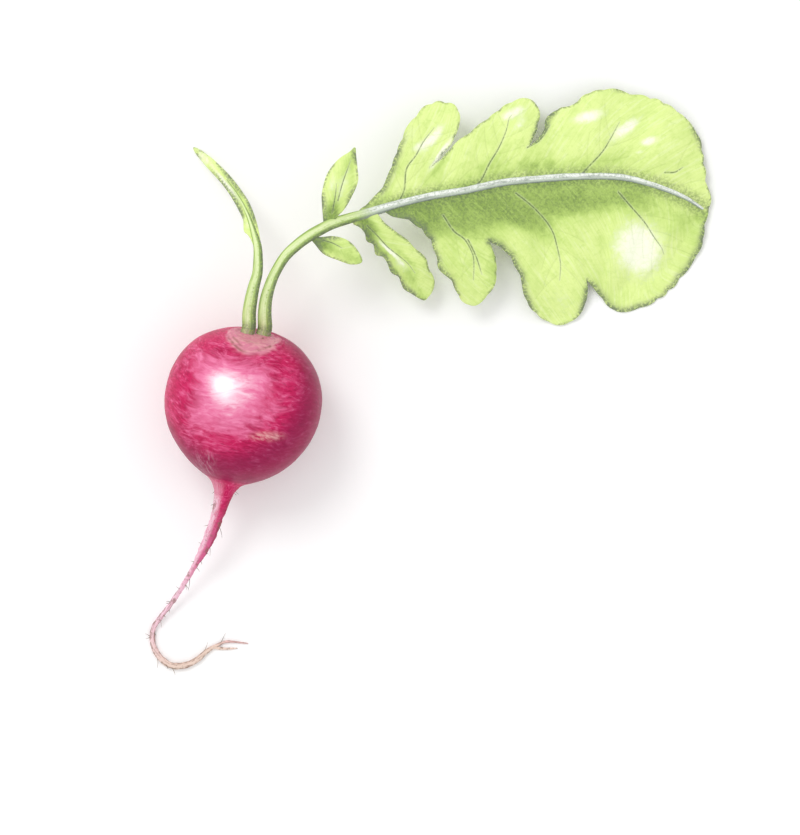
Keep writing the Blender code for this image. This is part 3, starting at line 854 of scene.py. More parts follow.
        values = {"From Max": self.rough_from, "To Min": self.roughness, "To Max": self.root_roughness}
        rough = add_node(tree, "ShaderNodeMapRange", values, {"Value": reads["tail"]})
        tree.links.new(rough.outputs["Result"], shader.inputs["Roughness"])
        return material


@dataclass(frozen=True)
class RootHair:
    """Root hair: dry fibre, grown. It gives the eye a dull grey brown thread."""

    name: str = "root_hair"
    colour: str = "#5B534D"
    pale: str = "#94836F"
    roughness: float = 0.8
    mottle_size: float = 2.5

    def material(self) -> Material:
        """Builds the material.

        Returns:
            The material.
        """
        material, tree, shader = new_material(self.name)
        place = add_node(tree, "ShaderNodeTexCoord").outputs["Object"]
        scale = {"Scale": per_metre(self.mottle_size)}
        reads = {"mottle": add_node(tree, "ShaderNodeTexNoise", scale, {"Vector": place})}
        colour = painted(tree, self.colour, [(self.pale, 1.0, ("mottle", 0.35, 0.65))], reads)
        tree.links.new(colour, shader.inputs["Base Color"])
        shader.inputs["Roughness"].default_value = self.roughness
        return material


@dataclass(frozen=True)
class LeafBlade:
    """Radish leaf: thin soft tissue between a net of veins, grown.

    It gives the eye a bright yellow green with painted highlights on the swellings, a painted shade of darker
    olive along and beside the midrib, thin dark veins, a dark margin with painted shade along it in
    stretches, and a greyer underside.
    """

    name: str = "leaf_blade"
    bright: str = "#E0F29A"
    # Besides their own use, green, dark and vein also paint shade along and beside the midrib, pale paints
    # highlights, and margin paints shade along the margin in stretches.
    green: str = "#BBD872"
    dark: str = "#7F9A4A"
    pale: str = "#FCFEE8"
    vein: str = "#66774F"
    vein_side: str = "#EEF5D0"
    margin: str = "#727F62"
    under: str = "#BFCF93"
    roughness: float = 0.62
    ior: float = 1.36
    mottle_size: float = 7.0
    stretch_size: float = 5.0
    grain_size: float = 1.4
    fine_size: float = 0.55
    # Strokes run out from the midrib between the side veins.
    stroke_width: float = 0.75
    stroke_length: float = 6.0
    cell_size: float = 1.5
    # The cells' and the grain's strength as relief, and their depth in millimetres.
    relief: Row = (0.5, 0.05)
    # How much of the grain goes into the edges of the painted shade and of the painted highlight patches.
    shade_grain: float = 0.53
    gleam_grain: float = 0.8
    # Where a cell's wall ends, and its height beside the grain's.
    cell_rim: float = 0.25
    cell_depth: float = 0.6

    def material(self) -> Material:
        """Builds the material.

        Returns:
            The material.
        """
        material, tree, shader = new_material(self.name)
        reads = {}
        for key in ("vein", "minor", "edge", "under", "painted_shade", "gleam", "nick", "margin_shade", "rib_shade"):
            reads[key] = add_node(tree, "ShaderNodeAttribute", attribute_name=key).outputs["Fac"]
        lay = add_node(tree, "ShaderNodeAttribute", attribute_name="lay").outputs["Vector"]
        place = add_node(tree, "ShaderNodeTexCoord").outputs["Object"]
        scale = {"Scale": (1 / self.stroke_width, 1 / self.stroke_length, 1.0)}
        lie = add_node(tree, "ShaderNodeMapping", scale, {"Vector": lay})
        for key, size, vector, detail, bend in (
            ("mottle", per_metre(self.mottle_size), place, 3.0, 0.0),
            ("stretch", per_metre(self.stretch_size), place, 2.0, 0.3),
            ("grain", per_metre(self.grain_size), place, 5.0, 0.6),
            ("fine", per_metre(self.fine_size), place, 3.0, 0.4),
            ("strokes", 1.0, lie, 4.0, 0.5),
        ):
            values = {"Scale": size, "Detail": detail, "Roughness": 0.62, "Distortion": bend}
            reads[key] = add_node(tree, "ShaderNodeTexNoise", values, {"Vector": vector})
        scale = {"Scale": per_metre(self.cell_size)}
        cells = add_node(tree, "ShaderNodeTexVoronoi", scale, {"Vector": place}, feature="DISTANCE_TO_EDGE")
        reads["cells"] = cells.outputs["Distance"]
        for key, weight, first, second in (
            ("texture", 0.5, "strokes", "grain"),
            ("grainy_shade", self.shade_grain, "texture", "painted_shade"),
            ("grainy_gleam", self.gleam_grain, "texture", "gleam"),
        ):
            links = {0: reads[first], 2: reads[second]}
            reads[key] = add_node(tree, "ShaderNodeMath", {1: weight}, links, operation="MULTIPLY_ADD")
        layers = [
            (self.green, 0.3, ("mottle", 0.42, 0.7)),
            (self.green, 0.25, ("grain", 0.5, 0.66)),
            (self.green, 0.22, ("strokes", 0.5, 0.64)),
            (self.pale, 0.16, ("strokes", 0.48, 0.34)),
            # Painted shade along the midrib and in patches: green, then dark olive, with streaks and darker
            # grain in it.
            (self.green, 0.9, ("grainy_shade", 0.36, 1.1)),
            (self.dark, 0.85, ("grainy_shade", 0.72, 1.5)),
            (self.green, 0.4, ("grainy_shade", 1.0, 1.4), ("strokes", 0.5, 0.36)),
            (self.vein, 0.5, ("grainy_shade", 0.8, 1.5), ("fine", 0.46, 0.6)),
            # Painted highlight patches.
            (self.pale, 0.95, ("grainy_gleam", 0.8, 1.5)),
            (self.green, 0.12, ("cells", 0.09, 0.0)),
            (self.dark, 0.12, ("minor", 0.2, 1.0)),
            (self.vein_side, 0.25, ("vein", 0.0, 0.3), ("vein", 0.8, 0.4)),
            (self.vein, 0.35, ("vein", 0.1, 0.6)),
            (self.vein, 0.7, ("vein", 0.25, 0.75), ("fine", 0.36, 0.52)),
            # Painted shade beside the midrib, smooth and grainy.
            (self.vein, 0.25, ("rib_shade", 0.3, 1.0)),
            (self.vein, 0.55, ("rib_shade", 0.15, 1.0), ("fine", 0.4, 0.6)),
            # Painted shade along the margin in stretches.
            (self.margin, 0.35, ("edge", 2.2, 0.4), ("margin_shade", 0.2, 0.8)),
            (self.margin, 0.8, ("edge", 1.4, 0.2), ("margin_shade", 0.15, 0.7), ("fine", 0.4, 0.54)),
            (self.margin, 0.7, ("edge", 0.6, 0.1), ("stretch", 0.42, 0.54), ("fine", 0.4, 0.54)),
            (self.margin, 0.35, ("nick", 0.3, 0.9), ("stretch", 0.42, 0.55)),
            (self.under, 0.75, ("under", 0.4, 0.6)),
        ]
        tree.links.new(painted(tree, self.bright, layers, reads), shader.inputs["Base Color"])
        values, links = {"From Max": self.cell_rim}, {"Value": reads["cells"]}
        hollow = add_node(tree, "ShaderNodeMapRange", values, links, interpolation_type="SMOOTHSTEP")
        values, links = {1: self.cell_depth}, {0: hollow, 2: reads["grain"]}
        height = add_node(tree, "ShaderNodeMath", values, links, operation="MULTIPLY_ADD")
        dress(tree, shader, height, self.relief, {"Roughness": self.roughness, "IOR": self.ior})
        return material


@dataclass(frozen=True)
class LeafStalk:
    """Leaf stalk and midrib: juicy ribbed tissue under a thin waxy skin, grown.

    It gives the eye a fresh green with paler and darker fibres along it, a pale channel on top, painted light
    on a band left of the middle and painted greyer shade on the right side and along the edges. It turns
    silvery grey where it becomes the midrib, with a painted highlight along its upper side and painted shade
    along its lower side, and has painted shade and then a thin cream ring at its foot.
    """

    name: str = "leaf_stalk"
    green: str = "#C2D98A"
    # Besides the fibres, the darker greens paint shade on the right side, along both edges and towards the
    # foot, and the pale fibre colour paints light on a band left of the middle.
    deep: str = "#8CA854"
    shade: str = "#6C775F"
    fibre: str = "#E4F0B8"
    stripe: str = "#E8F2C4"
    silver: str = "#BFC9BE"
    silver_highlight: str = "#F6F9F5"
    silver_shade_and_grain: str = "#78837A"
    foot: str = "#D8CBB4"
    roughness: float = 0.7
    ior: float = 1.36
    sheen_level: float = 0.25
    grain_size: float = 0.5
    # Fibres: how many times their noise repeats over the stalk's radius, and their length in millimetres.
    fibre_count: float = 2.6
    fibre_length: float = 6.0
    # The grain's strength as relief, and its depth in millimetres.
    relief: Row = (0.4, 0.04)

    def material(self) -> Material:
        """Builds the material.

        Returns:
            The material.
        """
        material, tree, shader = new_material(self.name)
        reads = {}
        for key in ("silver", "up", "aside", "run"):
            reads[key] = add_node(tree, "ShaderNodeAttribute", attribute_name=key).outputs["Fac"]
        place = add_node(tree, "ShaderNodeTexCoord").outputs["Object"]
        links = {"X": reads["aside"], "Y": reads["up"], "Z": reads["run"]}
        round_it = add_node(tree, "ShaderNodeCombineXYZ", links=links)
        scale = {"Scale": (self.fibre_count, self.fibre_count, per_metre(self.fibre_length))}
        lie = add_node(tree, "ShaderNodeMapping", scale, {"Vector": round_it})
        for key, size, vector, detail, rough in (
            ("grain", per_metre(self.grain_size), place, 5.0, 0.65),
            ("fibres", 1.0, lie, 4.0, 0.7),
        ):
            values = {"Scale": size, "Detail": detail, "Roughness": rough}
            reads[key] = add_node(tree, "ShaderNodeTexNoise", values, {"Vector": vector})
        rib = ("silver", 0.3, 0.7)
        layers = [
            (self.deep, 0.8, ("fibres", 0.48, 0.6)),
            (self.fibre, 0.6, ("fibres", 0.46, 0.36)),
            # Painted shade towards the foot.
            (self.deep, 0.35, ("silver", -0.02, -0.5)),
            # Painted light on a band left of the middle, painted shade on the right side and along both
            # edges.
            (self.fibre, 0.6, ("aside", 0.1, -0.2), ("aside", -0.75, -0.4)),
            (self.deep, 0.65, ("aside", 0.05, 0.6)),
            (self.deep, 0.5, ("aside", -0.55, -0.95)),
            (self.shade, 0.9, ("aside", 0.2, 0.85), ("grain", 0.34, 0.54)),
            (self.shade, 0.6, ("aside", -0.75, -1.0), ("grain", 0.38, 0.55)),
            (self.stripe, 0.6, ("up", 0.93, 0.99), ("grain", 0.36, 0.58)),
            (self.silver, 0.9, ("silver", 0.2, 0.7)),
            # On the midrib: a painted highlight along the upper side, painted shade along the lower side and
            # the upper edge, then dark grain.
            (self.silver_highlight, 0.9, rib, ("aside", 0.3, -0.1), ("grain", 0.36, 0.56)),
            (self.silver_shade_and_grain, 0.8, rib, ("aside", 0.3, 0.8), ("grain", 0.28, 0.52)),
            (self.silver_shade_and_grain, 0.7, rib, ("aside", -0.6, -0.95), ("grain", 0.36, 0.56)),
            (self.silver_shade_and_grain, 0.5, rib, ("fibres", 0.52, 0.62)),
            # Painted shade at the foot, then a thin cream ring.
            (self.shade, 0.6, ("silver", -0.2, -0.8), ("grain", 0.35, 0.55)),
            (self.foot, 0.35, ("silver", -0.9, -1.0), ("grain", 0.4, 0.6)),
        ]
        tree.links.new(painted(tree, self.green, layers, reads), shader.inputs["Base Color"])
        levels = {"Roughness": self.roughness, "IOR": self.ior, "Specular IOR Level": self.sheen_level}
        dress(tree, shader, reads["grain"], self.relief, levels)
        return material


# The root


@dataclass
class SwollenRoot:
    """Bulb, crown, neck, taproot, its fork and its hairs."""

    radius: float = 17.5
    centre: Row = (0.0, 0.0, 17.04)
    axis: Row = (81.0, 17.0)
    fullness: float = 1.012
    shoulder: float = 0.033
    # Lumps here and below: height, width and place in the noise.
    bulb_lumps: tuple[Row, ...] = ((0.16, 9, 3.1), (0.05, 2.6, 7.7))
    crown_dip: float = 0.07
    crown_dip_reach: float = 0.44
    heel: float = 0.035
    heel_reach: float = 0.75
    crown_heading: Row = (77.5, 20.0)
    # Distance out from the crown's middle and height over the bulb's centre.
    crown_levels: tuple[Row, ...] = (
        (0, 16.75), (4.7, 16.75), (5.1, 17), (5.5, 16.95), (5.8, 16.75), (6.2, 16.85), (6.7, 16.6),
        (7.4, 16.2),
    )
    crown_edge: Row = (7.4, 6.3)
    # The crown's distance from the bulb's centre by which places across it are measured.
    crown_radius: float = 16.8
    # The crown drops by this much on its far side, between these two distances from its middle.
    far_drop: float = 0.5
    far_fade: Row = (1.0, 5.0)
    # The pale crown's middle and half width across it, and its reach down the face and back.
    crown_patch: Row = (0.9, 6.0, 9.2, 6.6)
    patch_scale: float = 17.0
    crown_front: float = 0.3
    crown_fade: Row = (1.15, 0.8)
    crown_ragged: Row = (0.1, 1.2, 6.2)
    # Old scars: distance out, width, middle and half span in degrees, raised and sunk strength.
    scar_rows: tuple[Row, ...] = (
        (0.95, 0.05, 40, 36, 0.4, 0.95), (0.81, 0.045, 48, 28, 0.5, 0.8),
        (0.87, 0.06, -42, 28, 0.3, 1), (0.66, 0.05, 5, 50, 0.5, 0.45),
        (0.5, 0.05, 15, 40, 0.8, 0.5), (0.39, 0.05, -82, 22, 0.1, 1),
        (0.61, 0.04, 0, 9, 0, 0.9), (0.97, 0.04, 160, 50, 0.6, 0.7),
        (0.78, 0.035, -150, 45, 0.7, 0.7), (0.85, 0.03, -95, 30, 0.5, 0.6),
    )
    scar_wander: Row = (0.06, 2.6, 2.2)
    # What breaks the raised lines, then the grooves: lump width and place of the noise, and its range.
    scar_breaks: tuple[Row, Row] = ((1.4, 4.4, -0.25, 0.15), (1.1, 9.4, -0.2, 0.2))
    arc_rise: float = 0.12
    groove_depth: float = 0.14
    groove_shift: float = 0.06
    groove_least: float = 0.45
    # Soft patches of colour: x, y, length, width, turn and strength. The first ones are painted highlight on
    # the shoulder.
    painted_highlights: tuple[Row, ...] = (
        (-4, 4.4, 2.6, 2.6, 0, 0.7), (-3.4, 4.2, 5.8, 5.8, 0, 0.6), (3.4, 5.6, 5, 4.6, 0, 0.36),
        (-2.5, -3, 7.5, 5.4, 0, 0.32), (4, -1, 7, 4, 0, 0.2),
        (-9, -3, 4.4, 5.6, 0, 0.2), (-9, 9.5, 4, 4, 0, 0.25),
    )
    highlight_fade: Row = (0.1, 0.6)
    cork: Row = (5.6, -7.0, 3.8, 1.3, 0.0, 1.0)
    flare: Row = (-8.8, -14.0, 3.0, 4.4, 0.0, 1.0)
    flare_low: float = -0.3
    # The painted shade towards the bulb's rim: the middle of the clear part round the painted highlight, and
    # where the shade starts and is full.
    shade_from: Row = (-3.4, 4.5, 11.0, 20.0)
    # Brown stains down the taproot.
    stains: tuple[Row, ...] = (
        (-6.7, -22.4, 0.7, 2, 0, 1), (-12.6, -38.3, 0.7, 0.8, 0, 1),
        (-10.3, -35.8, 0.5, 0.8, 0, 1), (-15.9, -44.2, 0.7, 0.9, 0, 1),
        (-18.9, -49, 0.5, 1.2, 0, 1), (-5.3, -26.8, 0.5, 1, 0, 1),
        (-8.3, -33, 0.5, 0.8, 0, 1), (-21.2, -51.6, 0.4, 1.2, 0, 1),
    )
    root_heading: Row = (257.7, -8.0)
    # Radius of the neck and its distance from the bulb's centre.
    neck: tuple[Row, ...] = ((6.2, 15.4), (5.7, 16.5), (4.4, 17.3), (3.4, 18.2), (2.7, 19.3), (2.25, 20.3))
    # The neck's surface on inside the bulb: angle from the root's direction, and distance from the centre.
    neck_sunk: tuple[Row, ...] = ((25, 15.9), (34, 13.5), (60, 8))
    neck_softness: float = 0.35
    neck_calm: float = 0.12
    # The taproot's path starts this far before the neck's end, with this radius.
    lead: Row = (1.9, 2.6)
    # x, y, z and radius along the taproot past the neck.
    taproot: tuple[Row, ...] = (
        (-4.9, -22, 13.2, 1.8), (-6.1, -26, 11.6, 1.4), (-8.1, -30.9, 9.2, 1.25),
        (-9.7, -34, 7.5, 0.95), (-11, -36.3, 6.3, 0.65), (-13, -39.7, 4.7, 0.58),
        (-15.8, -44.1, 2.9, 0.55), (-18.7, -47.9, 1.5, 0.55), (-20.5, -50.6, 0.8, 0.58),
        (-20.7, -53.8, 0.68, 0.62), (-19.3, -56.9, 0.72, 0.7), (-16.7, -59, 0.75, 0.72),
        (-13.5, -59.1, 0.74, 0.71), (-10.5, -57.7, 0.7, 0.64), (-8.2, -55.7, 0.6, 0.5),
        (-6, -54.5, 0.48, 0.36), (-3.6, -53.7, 0.38, 0.27), (0.8, -54.1, 0.3, 0.12),
    )
    root_lumps: tuple[Row, ...] = ((0.16, 1.5, 1.3), (0.1, 0.6, 5.9))
    # The taproot's skin grows rough over this distance.
    rough_after: float = 8.0
    # Where along the taproot it is most knobbly, over what share of it, and by how much.
    knobbly: Row = (0.45, 0.16, 0.9)
    # How many times its radius the skin's grain is wrapped round the taproot.
    root_grain: float = 2.5
    # The colour's place along the root: the angle where the neck starts, and the value at its end.
    tail_turn: float = 26.0
    neck_tail: float = 0.03
    fork: tuple[Row, ...] = ((-7.2, -55, 0.5, 0.34), (-4.6, -55.3, 0.38, 0.27), (-1.6, -55.2, 0.3, 0.12))
    fork_lumps: Row = (0.2, 0.8, 1.3)
    fork_tail: float = 0.86
    fork_sides: int = 28
    sides: int = 168
    ring_step: float = 0.34
    crown_step: float = 0.2
    root_step: float = 0.36
    # Angles from the root's direction where the crown's rings end and the neck's begin, and the neck's rings.
    crown_turn: float = 125.0
    neck_turn: float = 30.0
    neck_rings: int = 40
    # Places in plan, foot then tip, of the hairs that show most.
    long_hairs: tuple[tuple[Row, Row], ...] = (
        ((-7.7, -17.8), (-8.4, -18.6)), ((-1.6, -17.8), (-0.7, -19.2)), ((-2, -18.2), (-0.2, -19)),
        ((-1.2, -17.4), (-0.6, -18.3)), ((-5, -27.5), (-3.8, -29.6)), ((-7.5, -31.8), (-7.2, -33.6)),
        ((-12.2, -39.1), (-12, -41.5)), ((-9.3, -34.3), (-9.9, -33.8)), ((-19, -48.1), (-18.7, -50)),
        ((-19.6, -57.2), (-19.2, -59.1)), ((-16.3, -59.8), (-15.6, -61)), ((-5.2, -53.5), (-4.5, -51.8)),
        ((-9.2, -56), (-8.1, -54.4)), ((-13.6, -42.2), (-14.6, -41.8)), ((-21.2, -52.6), (-22, -51.9)),
    )
    short_hairs: int = 18
    hair_seed: int = 7
    hair_step: float = 0.5
    hair_root: float = 0.5
    hair_tip_rise: float = 0.25
    hair_foot_rise: float = 0.2
    # Share of the taproot's radius at which the drawn hairs and the short ones start.
    hair_starts: Row = (0.7, 0.85)
    # Shares of the taproot between which the short hairs stand, their lift, lean along it and length.
    hair_span: Row = (0.04, 0.84)
    hair_lift: Row = (-0.4, 1.2)
    hair_lean: Row = (0.1, 0.9)
    hair_length: Row = (0.4, 1.3)

    def bulb_reach(self, ways: np.ndarray) -> np.ndarray:
        """Gives the bulb's distance from its centre along each way."""
        turn = np.arccos(np.clip(ways @ heading(*self.axis), -1.0, 1.0))
        share = self.fullness + self.shoulder * np.sin(2 * turn)
        share = share - self.crown_dip * np.exp(-((turn / self.crown_dip_reach) ** 2))
        share = share + self.heel * np.exp(-(((math.pi - turn) / self.heel_reach) ** 2))
        return self.radius * share

    def neck_reach(self, polar: np.ndarray) -> np.ndarray:
        """Gives the neck's distance from the bulb's centre at each angle from the root's direction."""
        rows = sorted((math.atan2(wide, far), math.hypot(wide, far)) for wide, far in self.neck)
        rows += [(math.radians(angle), reach) for angle, reach in self.neck_sunk]
        return np.interp(polar, *zip(*rows))

    def with_crown(self, ways: np.ndarray, reach: np.ndarray) -> tuple[np.ndarray, np.ndarray, np.ndarray]:
        """Raises the crown's disc out of the bulb.

        Args:
            ways: unit vectors from the bulb's centre.
            reach: the bulb's distance along each.

        Returns:
            The new distances, and how far across and down the crown each way lies, in millimetres.
        """
        out = heading(*self.crown_heading)
        across = unit(np.cross(UP, out))
        down = np.cross(across, out)
        if down @ UP < 0:
            down = -down
        forward = np.maximum(ways @ out, 0.05)
        rho = self.crown_radius * np.sqrt(np.maximum(1.0 - forward**2, 0.0)) / forward
        level = np.interp(rho, *zip(*self.crown_levels))
        level = level - self.far_drop * fade(-(ways @ down) * self.radius, *self.far_fade)
        share = fade(rho, *self.crown_edge) * (ways @ out > 0)
        reach = reach + (level / forward - reach) * share
        return reach, (ways @ across) * self.patch_scale, (ways @ down) * self.patch_scale

    def rings(self, last: float) -> np.ndarray:
        """Gives the bulb's rings as angles from the root's direction, closest together on the crown.

        Args:
            last: the angle of the last ring, where the taproot starts.

        Returns:
            The angles.
        """
        wide, front = math.radians(self.neck_turn), math.radians(self.crown_turn)
        crown_steps = round((math.pi - front) * self.radius / self.crown_step)
        wide_steps = round((front - wide) * self.radius / self.ring_step)
        crown = np.linspace(math.pi, front, crown_steps)[1:]
        middle = np.linspace(front, wide, wide_steps)[1:-1]
        return np.concatenate((crown, middle, np.linspace(wide, last, self.neck_rings)))

    def taproot_rings(self, side: np.ndarray, turn: np.ndarray) -> tuple[np.ndarray, np.ndarray, np.ndarray]:
        """Rounds and roughens the taproot past the neck.

        Args:
            side: the direction in which its rings start.
            turn: the places round a ring as angles.

        Returns:
            Its path, with the radius as fourth number, its rings, and its tip.
        """
        down_root = heading(*self.root_heading)
        neck_radius, neck_end = self.neck[-1]
        start = np.array(self.centre) + down_root * neck_end
        before = np.array(self.centre) + down_root * (neck_end - self.lead[0])
        path = smooth_run([(*before, self.lead[1]), (*start, neck_radius), *self.taproot], self.root_step)
        path = path[int(np.linalg.norm(path[:, :3] - start, axis=1).argmin()) + 1 :]
        outward, surface, tip = limb(path, side, turn)
        along = running_length(path[:, :3])
        middle, reach, most = self.knobbly
        swell = path[:, 3] * (1.0 + most * np.exp(-(((along / along[-1] - middle) / reach) ** 2)))
        swell *= fade(along, 0.0, self.rough_after)
        lumps = bumps(surface.reshape(-1, 3), self.root_lumps).reshape(len(path), self.sides)
        return path, surface + outward * (swell[:, None] * lumps)[:, :, None], tip

    def body(self) -> Shell:
        """Skins the bulb, its crown, neck and taproot in one.

        Returns:
            The skin with its values.
        """
        centre, down_root = np.array(self.centre), heading(*self.root_heading)
        side = unit(np.cross(UP, down_root))
        other = np.cross(down_root, side)
        last = math.atan2(*self.neck[-1])
        polar = self.rings(last)
        angles = np.repeat(polar, self.sides)
        turn = np.linspace(0, math.tau, self.sides, endpoint=False)
        ring = np.cos(turn)[:, None] * side + np.sin(turn)[:, None] * other
        ways = np.cos(polar)[:, None, None] * down_root + np.sin(polar)[:, None, None] * ring
        ways = ways.reshape(-1, 3)
        spots = ways * self.radius
        bulb, neck = self.bulb_reach(ways), self.neck_reach(angles)
        reach = 0.5 * (bulb + neck + np.sqrt((bulb - neck) ** 2 + self.neck_softness**2))
        reach = reach + fade(angles, last, last + self.neck_calm) * bumps(spots, self.bulb_lumps)
        reach, across, down = self.with_crown(ways, reach)
        arcs, grooves, crown = self.scars(ways, across, down)
        reach = reach + self.arc_rise * arcs - self.groove_depth * grooves
        bulb_rings = (centre + ways * reach[:, None]).reshape(len(polar), self.sides, 3)
        path, root_rings, tip = self.taproot_rings(side, turn)
        back = -down_root[None, :]
        pole = centre - down_root * float(self.with_crown(back, self.bulb_reach(back))[0][0])
        points, faces = loft(np.concatenate((bulb_rings, root_rings)), pole, tip)
        points[:, 2] = np.maximum(points[:, 2], 0.0)

        along = running_length(path[:, :3])
        bulb_run = (math.pi - polar) * self.radius
        run = np.concatenate((bulb_run, bulb_run[-1] + along + self.root_step))
        girth = np.maximum(path[:, 3], 1.0) * self.root_grain
        girth = np.concatenate((np.full(len(polar), self.radius), girth))
        circle = np.column_stack((np.cos(turn), np.sin(turn), np.ones(self.sides)))
        grain = (np.column_stack((girth, girth, run))[:, None, :] * circle).reshape(-1, 3)
        on_neck = fade(polar, math.radians(self.tail_turn), last)
        on_root = self.neck_tail + (1 - self.neck_tail) * along / along[-1]
        tail = np.concatenate((on_neck * self.neck_tail, on_root))
        top = ways @ UP
        # Painted shade grows with the distance in plan from the painted highlight, and is left off the neck.
        x, y, near, far = self.shade_from
        painted_shade = fade(np.hypot(spots[:, 0] - x, spots[:, 1] - y), near, far)
        painted_shade *= 1.0 - np.repeat(on_neck, self.sides)
        blank = np.zeros(len(path) * self.sides)
        values = {
            "grain": np.vstack((grain, np.zeros((1, 3)), grain[-self.sides])),
            "tail": np.concatenate((np.repeat(tail, self.sides), (0.0, 1.0))),
            # Painted light and shade side: +1 on the lit left side, -1 on the shaded right side, 0 on top and
            # underneath.
            "light_side": np.concatenate((-np.tile(np.cos(turn), len(run)), np.zeros(2))),
            "stain": patches(points, self.stains),
        }
        for key, row, at_pole in (
            ("crown", crown, 1.0),
            ("arc", arcs, 0.0),
            ("groove", grooves, 0.0),
            ("cork", patches(spots, (self.cork,)) * (top > 0), 0.0),
            ("flare", patches(spots, (self.flare,)) * (top > self.flare_low), 0.0),
            # Painted highlight on the upper shoulder, then painted shade towards the rim.
            ("painted_highlight", patches(spots, self.painted_highlights) * fade(top, *self.highlight_fade), 0.0),
            ("painted_shade", painted_shade, 0.0),
        ):
            values[key] = np.concatenate((row, blank, (at_pole, 0.0)))
        return Shell(points, faces, values)

    def scars(
        self, ways: np.ndarray, across: np.ndarray, down: np.ndarray
    ) -> tuple[np.ndarray, np.ndarray, np.ndarray]:
        """Draws the old leaf scars: broken arcs round the crown, each a raised line with a groove behind it.

        Args:
            ways: unit vectors from the bulb's centre.
            across: place across the crown.
            down: place down the crown's face.

        Returns:
            The arcs, the grooves and the whole pale crown, each from 0 to 1.
        """
        front = ways @ heading(*self.crown_heading) > self.crown_front
        middle, wide, near, far = self.crown_patch
        left = (across - middle) / wide
        low = down / np.where(down > 0, near, far)
        spots = ways * self.radius
        reach = np.hypot(left, low) + bumps(spots, (self.scar_wander,))
        turn = np.degrees(np.arctan2(left, low))
        broken, margin_shade = (fade(cloud(spots, *row[:2]), *row[2:]) for row in self.scar_breaks)
        arcs = np.zeros(len(ways))
        grooves = np.zeros(len(ways))
        for at, width, place, span, raised, sunk in self.scar_rows:
            within = np.exp(-(((np.mod(turn - place + 180.0, 360.0) - 180.0) / span) ** 4))
            arcs = np.maximum(arcs, np.exp(-(((reach - at) / width) ** 2)) * within * broken * raised)
            behind = reach - at + self.groove_shift
            grooves = np.maximum(grooves, np.exp(-((behind / width) ** 2)) * within * sunk)
        grooves *= self.groove_least + (1 - self.groove_least) * margin_shade
        crown = fade(reach + bumps(spots, (self.crown_ragged,)), *self.crown_fade)
        return arcs * front, grooves * front, crown * front

    def fork_shell(self) -> Shell:
        """Skins the fork at the root's end.

        Returns:
            The skin with its values.
        """
        path = smooth_run(self.fork, self.root_step)
        outward, surface, tip = limb(path, UP, np.linspace(0, math.tau, self.fork_sides, endpoint=False))
        lumps = bumps(surface.reshape(-1, 3), (self.fork_lumps,)).reshape(surface.shape[:2])
        rings = surface + outward * (lumps * path[:, 3][:, None])[:, :, None]
        points, faces = loft(rings, path[0, :3], tip)
        blank = np.zeros(len(points))
        values = {"grain": points, "tail": blank + self.fork_tail}
        for key in ("crown", "arc", "groove", "cork", "flare", "painted_highlight", "painted_shade", "light_side", "stain"):
            values[key] = blank
        return Shell(points, faces, values)

    def hairs(self, material: Material) -> Mesh:
        """Plants the hairs along the taproot.

        Args:
            material: their finish.

        Returns:
            Their mesh.
        """
        draw = random.Random(self.hair_seed)
        neck_radius, neck_end = self.neck[-1]
        start = np.array(self.centre) + heading(*self.root_heading) * neck_end
        path = smooth_run([(*start, neck_radius), *self.taproot], self.hair_step)
        tangents = unit(np.gradient(path[:, :3], axis=0))
        feet, ways, reaches = [], [], []
        for foot, tip in self.long_hairs:
            index = int(nearest(np.array([foot]), path[:, :2])[0][0])
            lean = np.array((tip[0] - foot[0], tip[1] - foot[1], self.hair_tip_rise))
            out = unit(np.array((foot[0] - path[index, 0], foot[1] - path[index, 1], self.hair_foot_rise)))
            feet.append(path[index, :3] + out * path[index, 3] * self.hair_starts[0])
            ways.append(lean)
            reaches.append(np.linalg.norm(lean) + self.hair_root)
        for _ in range(self.short_hairs):
            index = int(draw.uniform(*self.hair_span) * (len(path) - 1))
            aside = unit(np.cross(tangents[index], UP)) * draw.choice((-1, 1))
            out = unit(aside + UP * draw.uniform(*self.hair_lift))
            feet.append(path[index, :3] + out * path[index, 3] * self.hair_starts[1])
            ways.append(out + tangents[index] * draw.uniform(*self.hair_lean))
            reaches.append(draw.uniform(*self.hair_length))
        return FineHairs().plant("root_hairs", np.array(feet), np.array(ways), np.array(reaches), material)

    def build(self) -> None:
        """Builds the root and its hairs."""
        skin = RadishSkin().material()
        mesh = new_mesh("radish_root", Shell.together([self.body(), self.fork_shell()]))
        place_piece("radish_root", mesh, skin, "swollen_root")
        hair = RootHair().material()
        place_piece("root_hairs", self.hairs(hair), hair)


# Leaves


